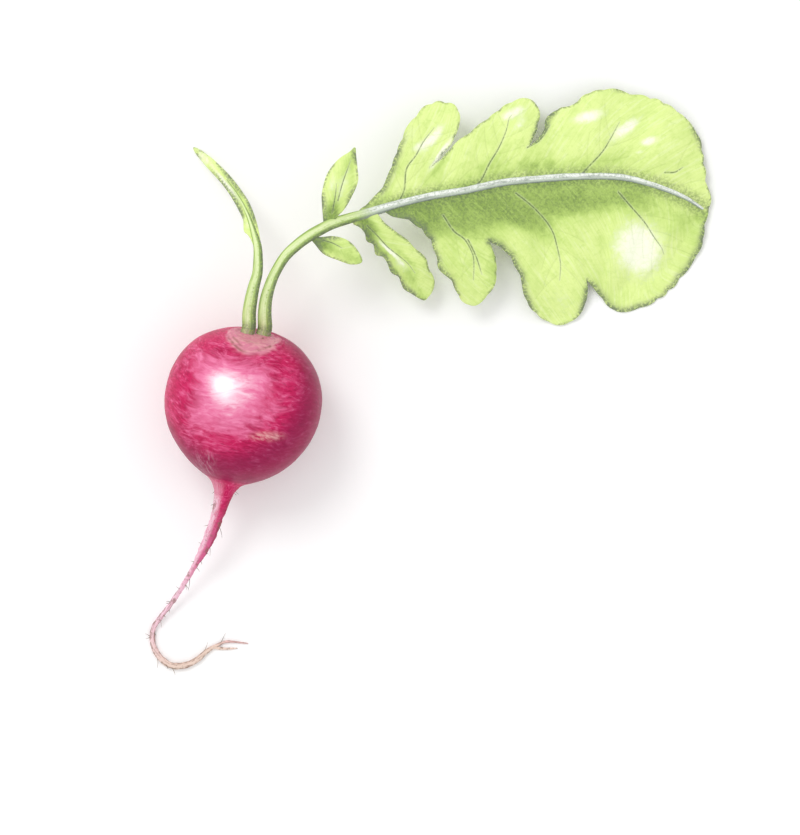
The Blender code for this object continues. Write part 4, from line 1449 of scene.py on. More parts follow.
@dataclass
class Bend:
    """How a flat blade hangs in space: it follows its midrib, sags to both sides and settles on the floor."""

    midrib: Any
    sag: float
    ripple: float
    groove: float = 0.0
    groove_reach: float = 4.0
    swellings: tuple[Row, ...] = ()
    floor_gap: float = 0.35
    floor_softness: float = 0.5
    line_step: float = 0.6
    # The sag is whole at this distance from the midrib, and grows with this power of it.
    sag_reach: float = 20.0
    sag_power: float = 1.5
    # The ripple's full distance from the midrib, its length, and its shift on either side.
    ripple_reach: float = 9.0
    ripple_length: float = 14.0
    ripple_shift: Row = (0.8, 2.6)
    # The finer ripple on it: share of its height, and pace along the midrib.
    ripple_fine: Row = (0.2, 1.1)

    def lay(self, spots: np.ndarray) -> tuple[np.ndarray, np.ndarray, np.ndarray]:
        """Lays the blade's middle over points in plan.

        Args:
            spots: points in plan.

        Returns:
            The height over each point, its signed distance across from the midrib, and the midrib's length
            up to it.
        """
        line = smooth_run([row[:3] for row in self.midrib], self.line_step)
        at, across = beside(spots, line[:, :2])
        gap = np.abs(across)
        marks = np.arange(len(line))
        run = np.interp(at, marks, running_length(line))
        height = np.interp(at, marks, line[:, 2]) - self.sag * (gap / self.sag_reach) ** self.sag_power
        height += self.groove * (1 - np.exp(-((across / self.groove_reach) ** 2)))
        phase = np.where(across > 0, *self.ripple_shift)
        wave = self.ripple * np.minimum(1.0, gap / self.ripple_reach)
        share, pace = self.ripple_fine
        wave *= np.sin(run * math.tau / self.ripple_length + phase) + share * np.sin(run * pace)
        for x, y, radius, rise in self.swellings:
            wave += rise * np.exp(-(((spots[:, 0] - x) ** 2 + (spots[:, 1] - y) ** 2) / radius**2))
        above = height + wave - self.floor_gap
        return self.floor_gap + 0.5 * (above + np.sqrt(above**2 + self.floor_softness**2)), across, run


@dataclass
class Blade:
    """One flat part of a leaf, cut to its edge in plan, veined, bent into place and given its thickness."""

    runs: Any
    bend: Bend
    veins: tuple[tuple[Row, ...], ...] = ()
    teeth: bool = False
    grid: float = 0.45
    # Share of the grid that the honeycomb's points keep from the edge, and from the rows along the veins.
    grid_clear: Row = (0.6, 0.55)
    edge_step: float = 0.32
    least_step: float = 0.05
    tooth_pitch: float = 4.4
    tooth_depth: float = 0.42
    tooth_fade: float = 9.0
    tooth_middle: float = 0.6
    # How the teeth drift along the edge: by how much, and pace.
    tooth_drift: Row = (1.1, 0.37)
    # How their depth changes along it: mean, change, pace and shift.
    tooth_change: Row = (0.85, 0.35, 0.23, 1.0)
    thickness: float = 0.42
    edge_thickness: float = 0.26
    thin_margin: float = 1.4
    # How far the rim bulges out of the edge, and the least heights of the middle, the rim and the underside.
    rim_swell: float = 0.09
    middle_floor: float = 0.05
    rim_floor: float = 0.05
    under_floor: float = 0.02
    vein_width: float = 0.2
    vein_depth: float = 0.16
    vein_ridge: float = 0.22
    # How much weaker a vein is at its end, as a share.
    vein_fade: float = 0.55
    vein_step: float = 0.35
    midrib_step: float = 0.4
    # Distances from a vein of the rows of points along it.
    vein_rows: Row = (0.0, -0.22, 0.22, -0.5, 0.5)
    row_clear: float = 0.2
    row_merge: float = 0.14
    quilt: float = 0.16
    quilt_reach: float = 1.3
    quilt_most: float = 9.0
    quilt_inland: float = 2.5
    crinkle: float = 0.3
    # The crinkle's lump width and place in the noise, and where inland it fades.
    crinkle_lumps: Row = (3.0, 8.3)
    crinkle_fade: Row = (0.5, 4.0)
    minor_pitch: float = 4.2
    minor_angle: float = 50.0
    minor_reach: float = 8.0
    minor_step: float = 0.4
    minor_curl: float = 0.03
    # Side veins stop this far from the edge and from other veins, which doesn't count for their first steps.
    minor_clear: float = 0.9
    minor_free: int = 5
    minor_smooth: float = 0.45
    minor_rows: Row = (0.0, -0.3, 0.3)
    minor_width: float = 0.22
    minor_share: float = 0.45
    minor_quilt: float = 0.15
    nick_width: float = 0.55
    stroke_lean: float = 0.7
    # How far the painted shade of darker green reaches above and below the midrib, how dark it is, and where
    # its fall starts.
    shade_above: float = 5.5
    shade_below: float = 13.0
    shade_most: Row = (0.28, 0.7)
    shade_full: float = 0.1
    shade_lumps: tuple[Row, ...] = ((0.16, 6, 9.1), (0.1, 2, 6.4))
    # How far the grainy painted shade beside the midrib reaches, and its strength.
    rib_shade_reach: float = 2.8
    rib_shade_most: float = 1.0
    # Patches of painted shade, patches of painted highlight, and stretches of painted shade along the margin:
    # x, y, length, width, turn and strength.
    shades: tuple[Row, ...] = ()
    gleams: tuple[Row, ...] = ()
    margin_shades: tuple[Row, ...] = ()

    def outline(self) -> tuple[np.ndarray, np.ndarray]:
        """Gives the edge in plan.

        Returns:
            The edge's points and the places of the nicks between its teeth.
        """
        edge, nicks = [], []
        for run in self.runs:
            points = smooth_run(run, self.edge_step)
            if self.teeth:
                along = running_length(points)
                tangents = unit(np.gradient(points, axis=0))
                outward = np.column_stack((-tangents[:, 1], tangents[:, 0]))
                soft = np.clip(np.minimum(along, along[-1] - along) / self.tooth_fade, 0.0, 1.0)
                drift, pace = self.tooth_drift
                uneven = along + drift * np.sin(along * pace)
                tooth = np.abs(np.sin(math.pi * uneven / self.tooth_pitch)) - self.tooth_middle
                mean, change, pace, shift = self.tooth_change
                depth = self.tooth_depth * (mean + change * np.sin(along * pace + shift))
                points = points + outward * (depth * tooth * soft)[:, None]
                at = np.interp(np.arange(self.tooth_pitch, uneven[-1] - 1.0, self.tooth_pitch), uneven, along)
                nicks.append(points[np.searchsorted(along, at)])
            edge.append(points)
        joined = np.vstack(edge)
        step = np.linalg.norm(joined - np.roll(joined, 1, axis=0), axis=1)
        joined = joined[step > self.least_step]
        return joined, (np.vstack(nicks) if nicks else np.empty((0, 2)))

    @staticmethod
    def inside(spots: np.ndarray, edge: np.ndarray) -> np.ndarray:
        """Tells which points in plan lie inside a closed edge."""
        hit = np.zeros(len(spots), bool)
        for a, b in zip(edge, np.roll(edge, -1, axis=0)):
            cross = (a[1] > spots[:, 1]) != (b[1] > spots[:, 1])
            if a[1] != b[1]:
                hit ^= cross & (spots[:, 0] < (b[0] - a[0]) * (spots[:, 1] - a[1]) / (b[1] - a[1]) + a[0])
        return hit

    def minor_veins(self, edge: np.ndarray, parents: list[np.ndarray]) -> list[np.ndarray]:
        """Grows side veins off the main ones by rule, until they near the edge or another vein.

        Args:
            edge: the blade's edge.
            parents: the main veins and the midrib.

        Returns:
            The side veins.
        """
        grown = []
        everything = np.vstack(parents)
        for parent in parents:
            along = running_length(parent)
            at = self.minor_pitch * 0.6
            side = 1
            while at < along[-1] - 1.0:
                index = int(np.searchsorted(along, at))
                ahead = unit(parent[min(index + 1, len(parent) - 1)] - parent[max(index - 1, 0)])
                c, s = heading(side * self.minor_angle, 0.0)[:2]
                way = np.array((ahead[0] * c - ahead[1] * s, ahead[0] * s + ahead[1] * c))
                line = [parent[index]]
                for step in range(round(self.minor_reach / self.minor_step)):
                    spot = line[-1] + way * self.minor_step
                    place = spot[None, :]
                    clear = nearest(place, edge)[1][0] > self.minor_clear
                    apart = step < self.minor_free or nearest(place, everything)[1][0] > self.minor_clear
                    if not clear or not apart or not self.inside(place, edge)[0]:
                        break
                    line.append(spot)
                    way = unit(way + ahead * self.minor_curl)
                if len(line) > self.minor_free:
                    grown.append(np.array(line))
                at += self.minor_pitch * 0.5
                side = -side
        return grown

    def fill(self, edge: np.ndarray, lines: list[np.ndarray], offsets: list[Row]) -> np.ndarray:
        """Fills the blade with points: rows along its veins, and a honeycomb between them.

        Args:
            edge: the blade's edge.
            lines: its veins.
            offsets: for each vein, how far to its sides the rows run.

        Returns:
            The points.
        """
        rows = []
        for line, gaps in zip(lines, offsets):
            tangents = unit(np.gradient(line, axis=0))
            normal = np.column_stack((-tangents[:, 1], tangents[:, 0]))
            rows.extend(line + normal * gap for gap in gaps)
        low, high = edge.min(axis=0), edge.max(axis=0)
        rise = self.grid * math.sqrt(0.75)
        lattice = []
        for number, y in enumerate(np.arange(low[1], high[1], rise)):
            x = np.arange(low[0] + (self.grid / 2 if number % 2 else 0.0), high[0], self.grid)
            lattice.append(np.column_stack((x, np.full(len(x), y))))
        lattice = np.vstack(lattice)
        lattice = lattice[self.inside(lattice, edge)]
        from_edge, from_rows = (self.grid * share for share in self.grid_clear)
        lattice = lattice[nearest(lattice, edge)[1] > from_edge]
        if not rows:
            return lattice
        rows = np.vstack(rows)
        rows = rows[self.inside(rows, edge)]
        rows = rows[nearest(rows, edge)[1] > self.row_clear]
        _, keep = np.unique(np.round(rows / self.row_merge).astype(int), axis=0, return_index=True)
        rows = rows[np.sort(keep)]
        return np.vstack((rows, lattice[nearest(lattice, rows)[1] > from_rows]))

    def skins(
        self, points: np.ndarray, faces: list[tuple[int, ...]], edge_gap: np.ndarray, relief: np.ndarray
    ) -> tuple[np.ndarray, np.ndarray]:
        """Thickens the blade's middle, thinner at the edge, its veins sunk on top and raised below.

        Args:
            points: the middle's points.
            faces: its triangles.
            edge_gap: each point's distance from the edge.
            relief: how strong the veins are at each point.

        Returns:
            The top's and the underside's points.
        """
        corners = points[np.array(faces)]
        normals = np.cross(corners[:, 1] - corners[:, 0], corners[:, 2] - corners[:, 0])
        normals *= np.sign(normals[:, 2:3])
        gathered = np.zeros_like(points)
        for corner in range(3):
            np.add.at(gathered, np.array(faces)[:, corner], normals)
        normals = unit(gathered)
        inland = fade(edge_gap, 0.0, self.thin_margin)
        half = 0.5 * (self.edge_thickness + (self.thickness - self.edge_thickness) * inland)
        top = points + normals * (half - self.vein_depth * relief)[:, None]
        bottom = points - normals * (half + self.vein_ridge * relief)[:, None]
        bottom[:, 2] = np.maximum(bottom[:, 2], self.under_floor)
        return top, bottom

    def rim(
        self, points: np.ndarray, faces: list[tuple[int, ...]]
    ) -> tuple[list[int], np.ndarray, list[tuple[int, ...]]]:
        """Rounds the edge with a line of points a little outside it, joined to the top and the underside.

        Args:
            points: the middle's points.
            faces: its triangles.

        Returns:
            The edge's points by index, the rim's points, and all faces of the blade.
        """
        count = len(points)
        directed = {pair: True for a, b, c in faces for pair in ((a, b), (b, c), (c, a))}
        border = [pair for pair in directed if (pair[1], pair[0]) not in directed]
        outer = sorted({corner for pair in border for corner in pair})
        place = {corner: 2 * count + index for index, corner in enumerate(outer)}
        follow = dict(border)
        back = {b: a for a, b in border}
        line = points[outer]
        for index, corner in enumerate(outer):
            step = points[follow[corner]] - points[back[corner]]
            line[index, :2] += unit(np.array((step[1], -step[0]))) * self.rim_swell
        line[:, 2] = np.maximum(line[:, 2], self.rim_floor)
        every = list(faces)
        every.extend((c + count, b + count, a + count) for a, b, c in faces)
        for a, b in border:
            every.append((b, a, place[a], place[b]))
            every.append((place[b], place[a], a + count, b + count))
        return outer, line, every

    def shell(self) -> Shell:
        """Builds the blade.

        Returns:
            The blade with its values.
        """
        edge, nicks = self.outline()
        mains = [smooth_run(line, self.vein_step) for line in self.veins]
        parents = [smooth_run([row[:2] for row in self.bend.midrib], self.midrib_step), *mains]
        grown = self.minor_veins(edge, parents) if self.teeth else []
        minors = [smooth_run(line, self.minor_smooth) for line in grown]
        offsets = [self.vein_rows] * len(mains) + [self.minor_rows] * len(minors)
        inner = self.fill(edge, mains + minors, offsets)
        coords = [Vector(point) for point in np.vstack((edge, inner))]
        ring = [(index, (index + 1) % len(edge)) for index in range(len(edge))]
        found, _, faces, _, _, _ = geometry.delaunay_2d_cdt(coords, ring, [], 1, 1e-5)
        plan = np.array([tuple(point) for point in found])
        faces = [tuple(face) for face in faces if len(face) == 3]

        height, across, run = self.bend.lay(plan)
        edge_gap = nearest(plan, edge)[1]
        vein, minor, nick = np.zeros((3, len(plan)))
        quilt_gap = np.minimum(np.abs(across), self.quilt_most)
        for line in mains:
            index, gap = nearest(plan, line)
            strength = 1.0 - self.vein_fade * (index / (len(line) - 1)) ** 2
            vein = np.maximum(vein, strength * np.exp(-((gap / self.vein_width) ** 2)))
            quilt_gap = np.minimum(quilt_gap, gap)
        if minors:
            gap = nearest(plan, np.vstack(minors))[1]
            minor = np.exp(-((gap / self.minor_width) ** 2))
            quilt_gap = np.minimum(quilt_gap, gap + self.minor_quilt)
        if len(nicks):
            nick = np.exp(-((nearest(plan, nicks)[1] / self.nick_width) ** 2))
        quilt = self.quilt * (1 - np.exp(-((quilt_gap / self.quilt_reach) ** 2)))
        quilt = quilt * fade(edge_gap, 0.0, self.quilt_inland)
        crinkle = self.crinkle * cloud(plan, *self.crinkle_lumps) * (1 - fade(edge_gap, *self.crinkle_fade))
        middle = np.maximum(height + quilt + crinkle, self.thickness / 2 + self.middle_floor)
        points = np.column_stack((plan, middle))
        top, bottom = self.skins(points, faces, edge_gap, np.maximum(vein, self.minor_share * minor))
        outer, rim, every = self.rim(points, faces)

        # Painted shade, darker olive, along the midrib and in patches.
        reach = np.where(across > 0, self.shade_above, self.shade_below)
        fall = 1.0 - fade(np.abs(across), reach * self.shade_full, reach)
        painted_shade = np.where(across > 0, *self.shade_most) * fall + patches(plan, self.shades)
        values = {}
        for key, row in (
            ("vein", vein),
            ("minor", minor),
            ("edge", edge_gap),
            ("painted_shade", painted_shade + bumps(plan, self.shade_lumps)),
            ("nick", nick),
            ("gleam", patches(plan, self.gleams)),
            ("margin_shade", patches(plan, self.margin_shades)),
            ("rib_shade", self.rib_shade_most * np.exp(-((across / self.rib_shade_reach) ** 2))),
            ("lay", np.column_stack((run - self.stroke_lean * np.abs(across), across, np.zeros(len(plan))))),
        ):
            values[key] = np.concatenate((row, row, row[outer]))
        values["under"] = np.concatenate((np.zeros(len(plan)), np.ones(len(plan)), np.zeros(len(outer))))
        return Shell(np.vstack((top, bottom, rim)), every, values)


def stalk_foot(spot: Row, radius: float) -> list[Row]:
    """Gives the first points of a stalk, square to the crown's flat and set in it a little.

    Args:
        spot: where it stands in plan.
        radius: its radius there.

    Returns:
        Rows of x, y, z and radius.
    """
    root = SwollenRoot()
    out = heading(*root.crown_heading)
    level = root.crown_levels[0][1] + FOOT_LIFT
    height = root.centre[2] + (level - out[0] * spot[0] - out[1] * spot[1]) / out[2]
    foot = np.array((*spot, height))
    return [(*(foot + out * at), radius * share) for at, share in FOOT_ROWS]


@dataclass
class LobedLeaf:
    """The big leaf: stalk and midrib, the lobed end blade and three free leaflets."""

    foot: Row = (4.8, 16.45)
    foot_radius: float = 1.62
    stalk: tuple[Row, ...] = (
        (5, 20.5, 22.1, 1.52), (5.3, 23.6, 23, 1.4), (6.15, 26.7, 23.7, 1.26), (7.4, 29.7, 24, 1.17),
        (9.6, 33.3, 24.1, 1.17), (12.5, 36.1, 23.6, 1.22), (15.2, 38.1, 22.6, 1.26),
        (17.6, 39.5, 21.5, 1.26), (20.2, 40.8, 20.2, 1.24), (23.9, 42, 18.6, 1.18),
        (27, 42.9, 17.3, 1.1),
    )
    midrib: tuple[Row, ...] = (
        (34.6, 45.2, 14.8, 1), (42.3, 47.1, 12.8, 0.98), (50, 48.4, 11.2, 0.96),
        (57.9, 50.1, 9.8, 0.96), (65.7, 51, 8.5, 0.96), (76.1, 51.7, 7.2, 0.92), (85, 51.6, 6, 0.86),
        (92.3, 50, 4.7, 0.74), (99.5, 47.3, 2.9, 0.56), (104.2, 44.5, 1.1, 0.36),
    )
    # The midrib's middle lies this share of its radius under the blade's top.
    midrib_sink: float = 0.45
    stalk_step: float = 0.55
    # The stalk joins the blade from this far before its last point to this far after it.
    blade_blend: Row = (2.0, 4.0)
    # The least height of its middle, as a share of its radius.
    stalk_clear: float = 1.05
    # It turns from green to silver between these values of x.
    silver_from: Row = (18.0, 39.0)
    # A leaflet's rib: radius at its start and how much less at its end, its depth in the blade, and how
    # silver its end is.
    rib_radius: Row = (0.5, 0.32)
    rib_sink: float = 0.25
    rib_silver: float = 0.3
    rib_step: float = 0.6
    # The end blade's edge, lobe by lobe: first and second upper lobe, end lobe, second and first lower lobe.
    lobes: tuple[tuple[Row, ...], ...] = (
        (
            (25.2, 42.7), (27, 44.4), (29.5, 46.6), (32.2, 50.4), (34.2, 55.5), (36.6, 61.6),
            (39.2, 65.6), (42.3, 68.1), (45.4, 68.5), (48.1, 67.4), (48.9, 64.8), (47.4, 59.8),
            (42.3, 53.6),
        ),
        (
            (44.7, 55.3), (48.5, 59.4), (55.5, 64.9), (60, 68.2), (63.6, 69.3), (66.3, 68.3),
            (66.9, 65.4), (66.2, 62.1), (64.3, 58),
        ),
        (
            (66.4, 59.7), (68, 62), (68.7, 64.8), (71.4, 67.2), (74.3, 67.7), (77.9, 70.5),
            (83.2, 71.6), (88.2, 70.5), (94.3, 69), (99.5, 65.6), (103.1, 61.1), (104.2, 55.9),
            (105, 50), (105.9, 46), (104.7, 41.6), (103.8, 36.1), (101, 31.3), (96.8, 26.3),
            (92.3, 23.1), (88, 21.5), (84, 21.6), (80.9, 24.8), (77.6, 28.8),
        ),
        (
            (78, 26.4), (77.4, 22.9), (75, 19.4), (71.7, 18.3), (67.8, 19.7), (64.3, 23.3),
            (63, 28), (60.9, 32.9), (58.3, 35.7), (55.6, 37),
        ),
        (
            (57, 33.4), (57.2, 29.3), (55.8, 25.4), (52.3, 22.6), (49.4, 23.8), (47, 28.2),
            (44.1, 31.2), (43.4, 35), (41.2, 38.8), (37.6, 41.6), (33.9, 42.6), (31, 43.6),
            (25.4, 42.2),
        ),
    )
    swellings: tuple[Row, ...] = (
        (41, 61, 7, 1.1), (57, 62, 7, 1.1), (79, 63, 8, 1.2), (96, 58, 8, 1.2),
        (89.6, 34, 9, 1.9), (70.5, 27, 7, 1.4), (51.5, 30, 6, 1.2),
    )
    veins: tuple[tuple[Row, ...], ...] = (
        ((35, 45.4), (36.4, 48.7), (36.9, 53.2), (39, 56.3), (40.7, 59.4), (43.1, 62.5)),
        ((52, 49.2), (53.7, 50.7), (55.6, 54.5), (57.7, 58), (59.4, 61.8), (60.1, 64.6), (60.7, 65.5)),
        ((64.2, 58.2), (67.1, 60), (69.3, 63.3)),
        ((76.1, 51.7), (77.9, 53.7), (81.1, 57.2), (82.9, 60), (85.1, 64)),
        ((95.5, 52.7), (97.7, 52.8), (99.5, 53.9)),
        ((61.7, 47.8), (64.9, 45.3), (68.2, 42), (70, 39.2), (70.9, 36.3), (71.8, 32), (71.6, 28.4)),
        ((84.9, 48.2), (88, 44.6), (90.9, 41.3), (93, 38.1), (94.6, 35.9), (95.2, 34.3)),
        ((45.2, 42.8), (47.6, 39.3), (50.1, 37.3), (51.8, 34.1), (52.1, 31.7), (52, 28.3)),
        ((50.8, 37.3), (52.5, 33.8), (53.9, 29.6)),
    )
    # Patches of painted shade: x, y, length, width, turn and strength; below zero they lighten it.
    shades: tuple[Row, ...] = (
        (38.4, 43.4, 7, 2, 8, 0.5), (50.4, 33.6, 9, 6, 70, 0.3),
        (63, 41.3, 10, 2.4, -25, 0.45), (80.4, 46.3, 12, 2.2, 2, 0.3),
        (98.5, 46.5, 7, 3.6, -35, -0.45), (68.6, 54.4, 14, 1.8, 3, 0.35),
        (60, 43, 16, 6, -6, 0.26), (46, 41.5, 9, 4, -15, 0.25),
        (39.5, 41.2, 6, 1.8, -30, 0.4), (72, 43.5, 8, 3, -5, 0.22),
        (56, 54.5, 7, 2.2, 35, 0.3), (66, 56, 6, 2, 40, 0.15),
        (85, 56.4, 4, 2, 20, 0.3), (44, 53.5, 4, 1.1, 50, 0.55),
        (66.5, 60.5, 5, 0.9, 60, 0.5), (56.8, 31, 7, 1.4, 80, 0.35),
        (64, 29, 7, 1.4, -60, 0.25), (79, 27, 4, 1.6, 60, 0.35),
        (34, 51, 6, 1.6, 55, 0.3),
    )
    # Patches of painted highlight.
    gleams: tuple[Row, ...] = (
        (89.5, 35.5, 5.6, 6.4, 20, 1.1), (43, 60.5, 4.6, 1.3, 50, 0.8),
        (39.5, 58.3, 2.4, 1, 40, 0.5), (61, 66, 3.6, 1.4, 25, 0.8),
        (62.5, 63.5, 2.6, 1, 45, 0.5), (78, 65.2, 4, 1.5, 15, 0.9),
        (86.5, 62.5, 4.6, 1.5, 35, 0.9), (92, 59.7, 2.4, 1.1, 12, 0.8),
        (89.5, 57.2, 1.2, 0.5, 10, 0.6), (72, 23.5, 3, 3.4, 10, 0.35),
        (51, 27.5, 1.2, 3.5, 0, 0.25), (44.6, 56.6, 4.6, 0.7, 55, 1.1),
    )
    # Stretches of painted shade along the margin.
    margin_shades: tuple[Row, ...] = (
        (33.6, 53, 9, 3, 70, 0.9), (38.6, 40.6, 7, 2.5, -22, 0.9),
        (45.5, 30, 8, 3, -65, 0.6), (62.5, 29, 9, 3, -70, 1),
        (57, 36, 3, 2, -30, 1), (77.2, 23.5, 5, 2, 75, 0.7),
        (82, 24.5, 4, 2.5, -50, 1), (90, 22, 6, 2.5, 0, 0.8),
        (99.5, 29.5, 7, 2.5, 50, 0.9), (104, 38, 5, 2, 70, 0.8),
        (68.5, 64.5, 6, 2, 60, 0.9), (86, 71.5, 4, 1.5, 0, 0.5),
        (102.5, 60.5, 4, 2, -60, 0.6),
    )
    upper_midrib: tuple[Row, ...] = (
        (19.7, 40.9, 20.4), (20.4, 46, 21.8), (22.3, 51.5, 22.2), (25.2, 57.5, 21),
    )
    upper_edge: tuple[Row, ...] = (
        (18.3, 40.4), (18.2, 42.4), (18, 44.8), (18, 47.8), (19.2, 52), (21.6, 55.1), (24.2, 56.9),
        (25.3, 57.9), (25.5, 56.2), (25.8, 53.2), (25.9, 50.1), (24.2, 46.2), (22.7, 43.8), (21.3, 42.4),
        (20.6, 41),
    )
    small_midrib: tuple[Row, ...] = (
        (15.1, 38.6, 22.2), (17.6, 36.4, 21.9), (21.6, 35.1, 20.7), (26.7, 32.7, 17.8),
    )
    small_edge: tuple[Row, ...] = (
        (15.6, 39), (17.2, 37.7), (20.3, 37.9), (23.2, 37.2), (25.4, 35.4), (26.9, 32.4), (24.6, 31.7),
        (21.6, 32.6), (18.3, 34), (16.2, 36.4), (14.6, 38.2),
    )
    long_midrib: tuple[Row, ...] = (
        (26.9, 42.6, 17), (29.7, 39.2, 15.6), (33.6, 34.9, 12.9), (37.9, 30.1, 9.6), (40.9, 24.4, 6),
    )
    long_edge: tuple[Row, ...] = (
        (30.2, 43.2), (31.8, 41.2), (33.5, 39.8), (35.4, 38.4), (37.1, 37.2), (38.6, 35.5), (40, 34.4),
        (41.3, 33), (41.9, 30.8), (42.8, 29.3), (43.2, 27.8), (42.8, 25.9), (41.8, 24.5), (40.7, 23.8),
        (38, 25.3), (36.4, 26.3), (35.7, 27.8), (35.1, 29.1), (33.5, 30), (32.6, 32.2), (31.6, 33.5),
        (30, 34), (29.5, 36.2), (28, 37), (27.6, 38.7), (26.5, 40), (24.9, 40.9), (25.2, 42.2),
    )

    def leaflets(self) -> list[Blade]:
        """Gives the three free leaflets.

        Returns:
            Their blades.
        """
        common = {
            "shade_above": 1.8, "shade_below": 3.4, "shade_most": (0.35, 0.5), "grid": 0.4, "vein_width": 0.14,
            "stroke_lean": 1.6, "rib_shade_most": 0.0,
        }
        # Each leaflet's patches paint highlights, shade, and shade along its margin.
        upper = Blade(
            (self.upper_edge,),
            Bend(self.upper_midrib, 6.0, 0.2),
            gleams=((22.6, 49.5, 5.0, 1.4, 72.0, 0.5), (20.2, 50.0, 3.0, 0.9, 75.0, 0.4)),
            shades=((19.9, 43.0, 2.6, 1.8, 80.0, 0.7), (24.6, 49.5, 3.5, 0.7, 85.0, 0.4)),
            margin_shades=(
                (18.6, 44, 4, 1.5, 95, 0.9), (24.8, 47.5, 3, 1.2, 60, 0.7),
                (25.4, 56, 2, 1, 90, 0.9),
            ),
            veins=(((20.2, 43.2), (20.9, 46.9), (21.2, 49.7)), ((21.5, 46.0), (22.6, 50.0), (24.3, 54.8))),
            **common,
        )
        small = Blade(
            (self.small_edge,),
            Bend(self.small_midrib, 6.0, 0.2),
            shades=((17.2, 36.8, 2.6, 1.4, -30.0, 0.9), (21.0, 36.4, 4.0, 0.8, -12.0, 0.3)),
            margin_shades=((18.6, 37.8, 3.6, 1.2, -5.0, 1.0), (16.6, 36.0, 2.4, 1.2, -50.0, 0.9)),
            veins=(((18.2, 37.0), (20.2, 36.4), (22.4, 35.3)),),
            **common,
        )
        long = Blade(
            (self.long_edge,),
            Bend(self.long_midrib, 6.0, 0.5),
            gleams=((32.9, 35.0, 3.4, 0.45, -43.0, 1.0), (35.8, 31.6, 2.2, 1.3, -43.0, 0.5)),
            shades=(
                (28.4, 38.2, 2.6, 1.1, -70, 0.8), (31.3, 34.4, 2.2, 0.7, -45, 0.6),
                (34.2, 30.3, 2, 0.6, -45, 0.7), (29, 40.6, 3, 1.4, -40, 0.5),
                (36.9, 33.2, 4, 0.6, -45, 0.45),
            ),
            margin_shades=(
                (28.2, 37.5, 4, 1.6, -60, 1), (31.6, 32.6, 5, 1.6, -50, 1),
                (37, 26.2, 4, 1.4, -40, 0.8),
            ),
            veins=(((28.1, 40.4), (30.4, 38.1), (32.6, 35.7), (34.9, 33.9), (37.1, 32.1), (38.8, 29.9)),),
            **common,
        )
        return [upper, small, long]

    def stems(self, material: Material) -> Mesh:
        """Sweeps the stalk with its midrib, and the leaflets' ribs.

        Args:
            material: their finish.

        Returns:
            The mesh.
        """
        foot = stalk_foot(self.foot, self.foot_radius)
        rows = smooth_run(foot + list(self.stalk + self.midrib), self.stalk_step)
        start = self.stalk[-1][0]
        before, after = self.blade_blend
        on_blade = fade(rows[:, 0], start - before, start + after)
        blade = self.bend().lay(rows[:, :2])[0] + Blade.thickness / 2 - self.midrib_sink * rows[:, 3]
        blade = np.maximum(blade, rows[:, 3] * self.stalk_clear)
        rows[:, 2] += (blade - rows[:, 2]) * on_blade
        silver = fade(rows[:, 0], *self.silver_from) - fade(running_length(rows[:, :3]), *FOOT_FADE)
        paths, silvers = [rows], [silver]
        thick, thinning = self.rib_radius
        for line in (self.upper_midrib, self.small_midrib, self.long_midrib):
            rib = smooth_run(line, self.rib_step)[:-2]
            share = np.linspace(0.0, 1.0, len(rib))
            rib[:, 2] -= self.rib_sink
            paths.append(np.column_stack((rib, thick - thinning * share)))
            silvers.append(share * self.rib_silver)
        return RibbedSweep().sweep("leaf_stalk", paths, silvers, material)

    def bend(self) -> Bend:
        """Gives how the end blade hangs."""
        return Bend((self.stalk[-2], self.stalk[-1], *self.midrib), 4.2, 0.6, 0.9, 4.0, self.swellings)

    def build(self) -> None:
        """Builds the leaf."""
        leaf = LeafBlade().material()
        looks = {"shades": self.shades, "gleams": self.gleams, "margin_shades": self.margin_shades}
        blade = Blade(self.lobes, self.bend(), self.veins, teeth=True, **looks)
        mesh = new_mesh("lobed_blade", blade.shell())
        place_piece("lobed_blade", mesh, leaf, "lobed_leaf")
        mesh = new_mesh("leaflets", Shell.together([leaflet.shell() for leaflet in self.leaflets()]))
        place_piece("leaflets", mesh, leaf)
        green = LeafStalk().material()
        place_piece("lobed_stalk", self.stems(green), green)


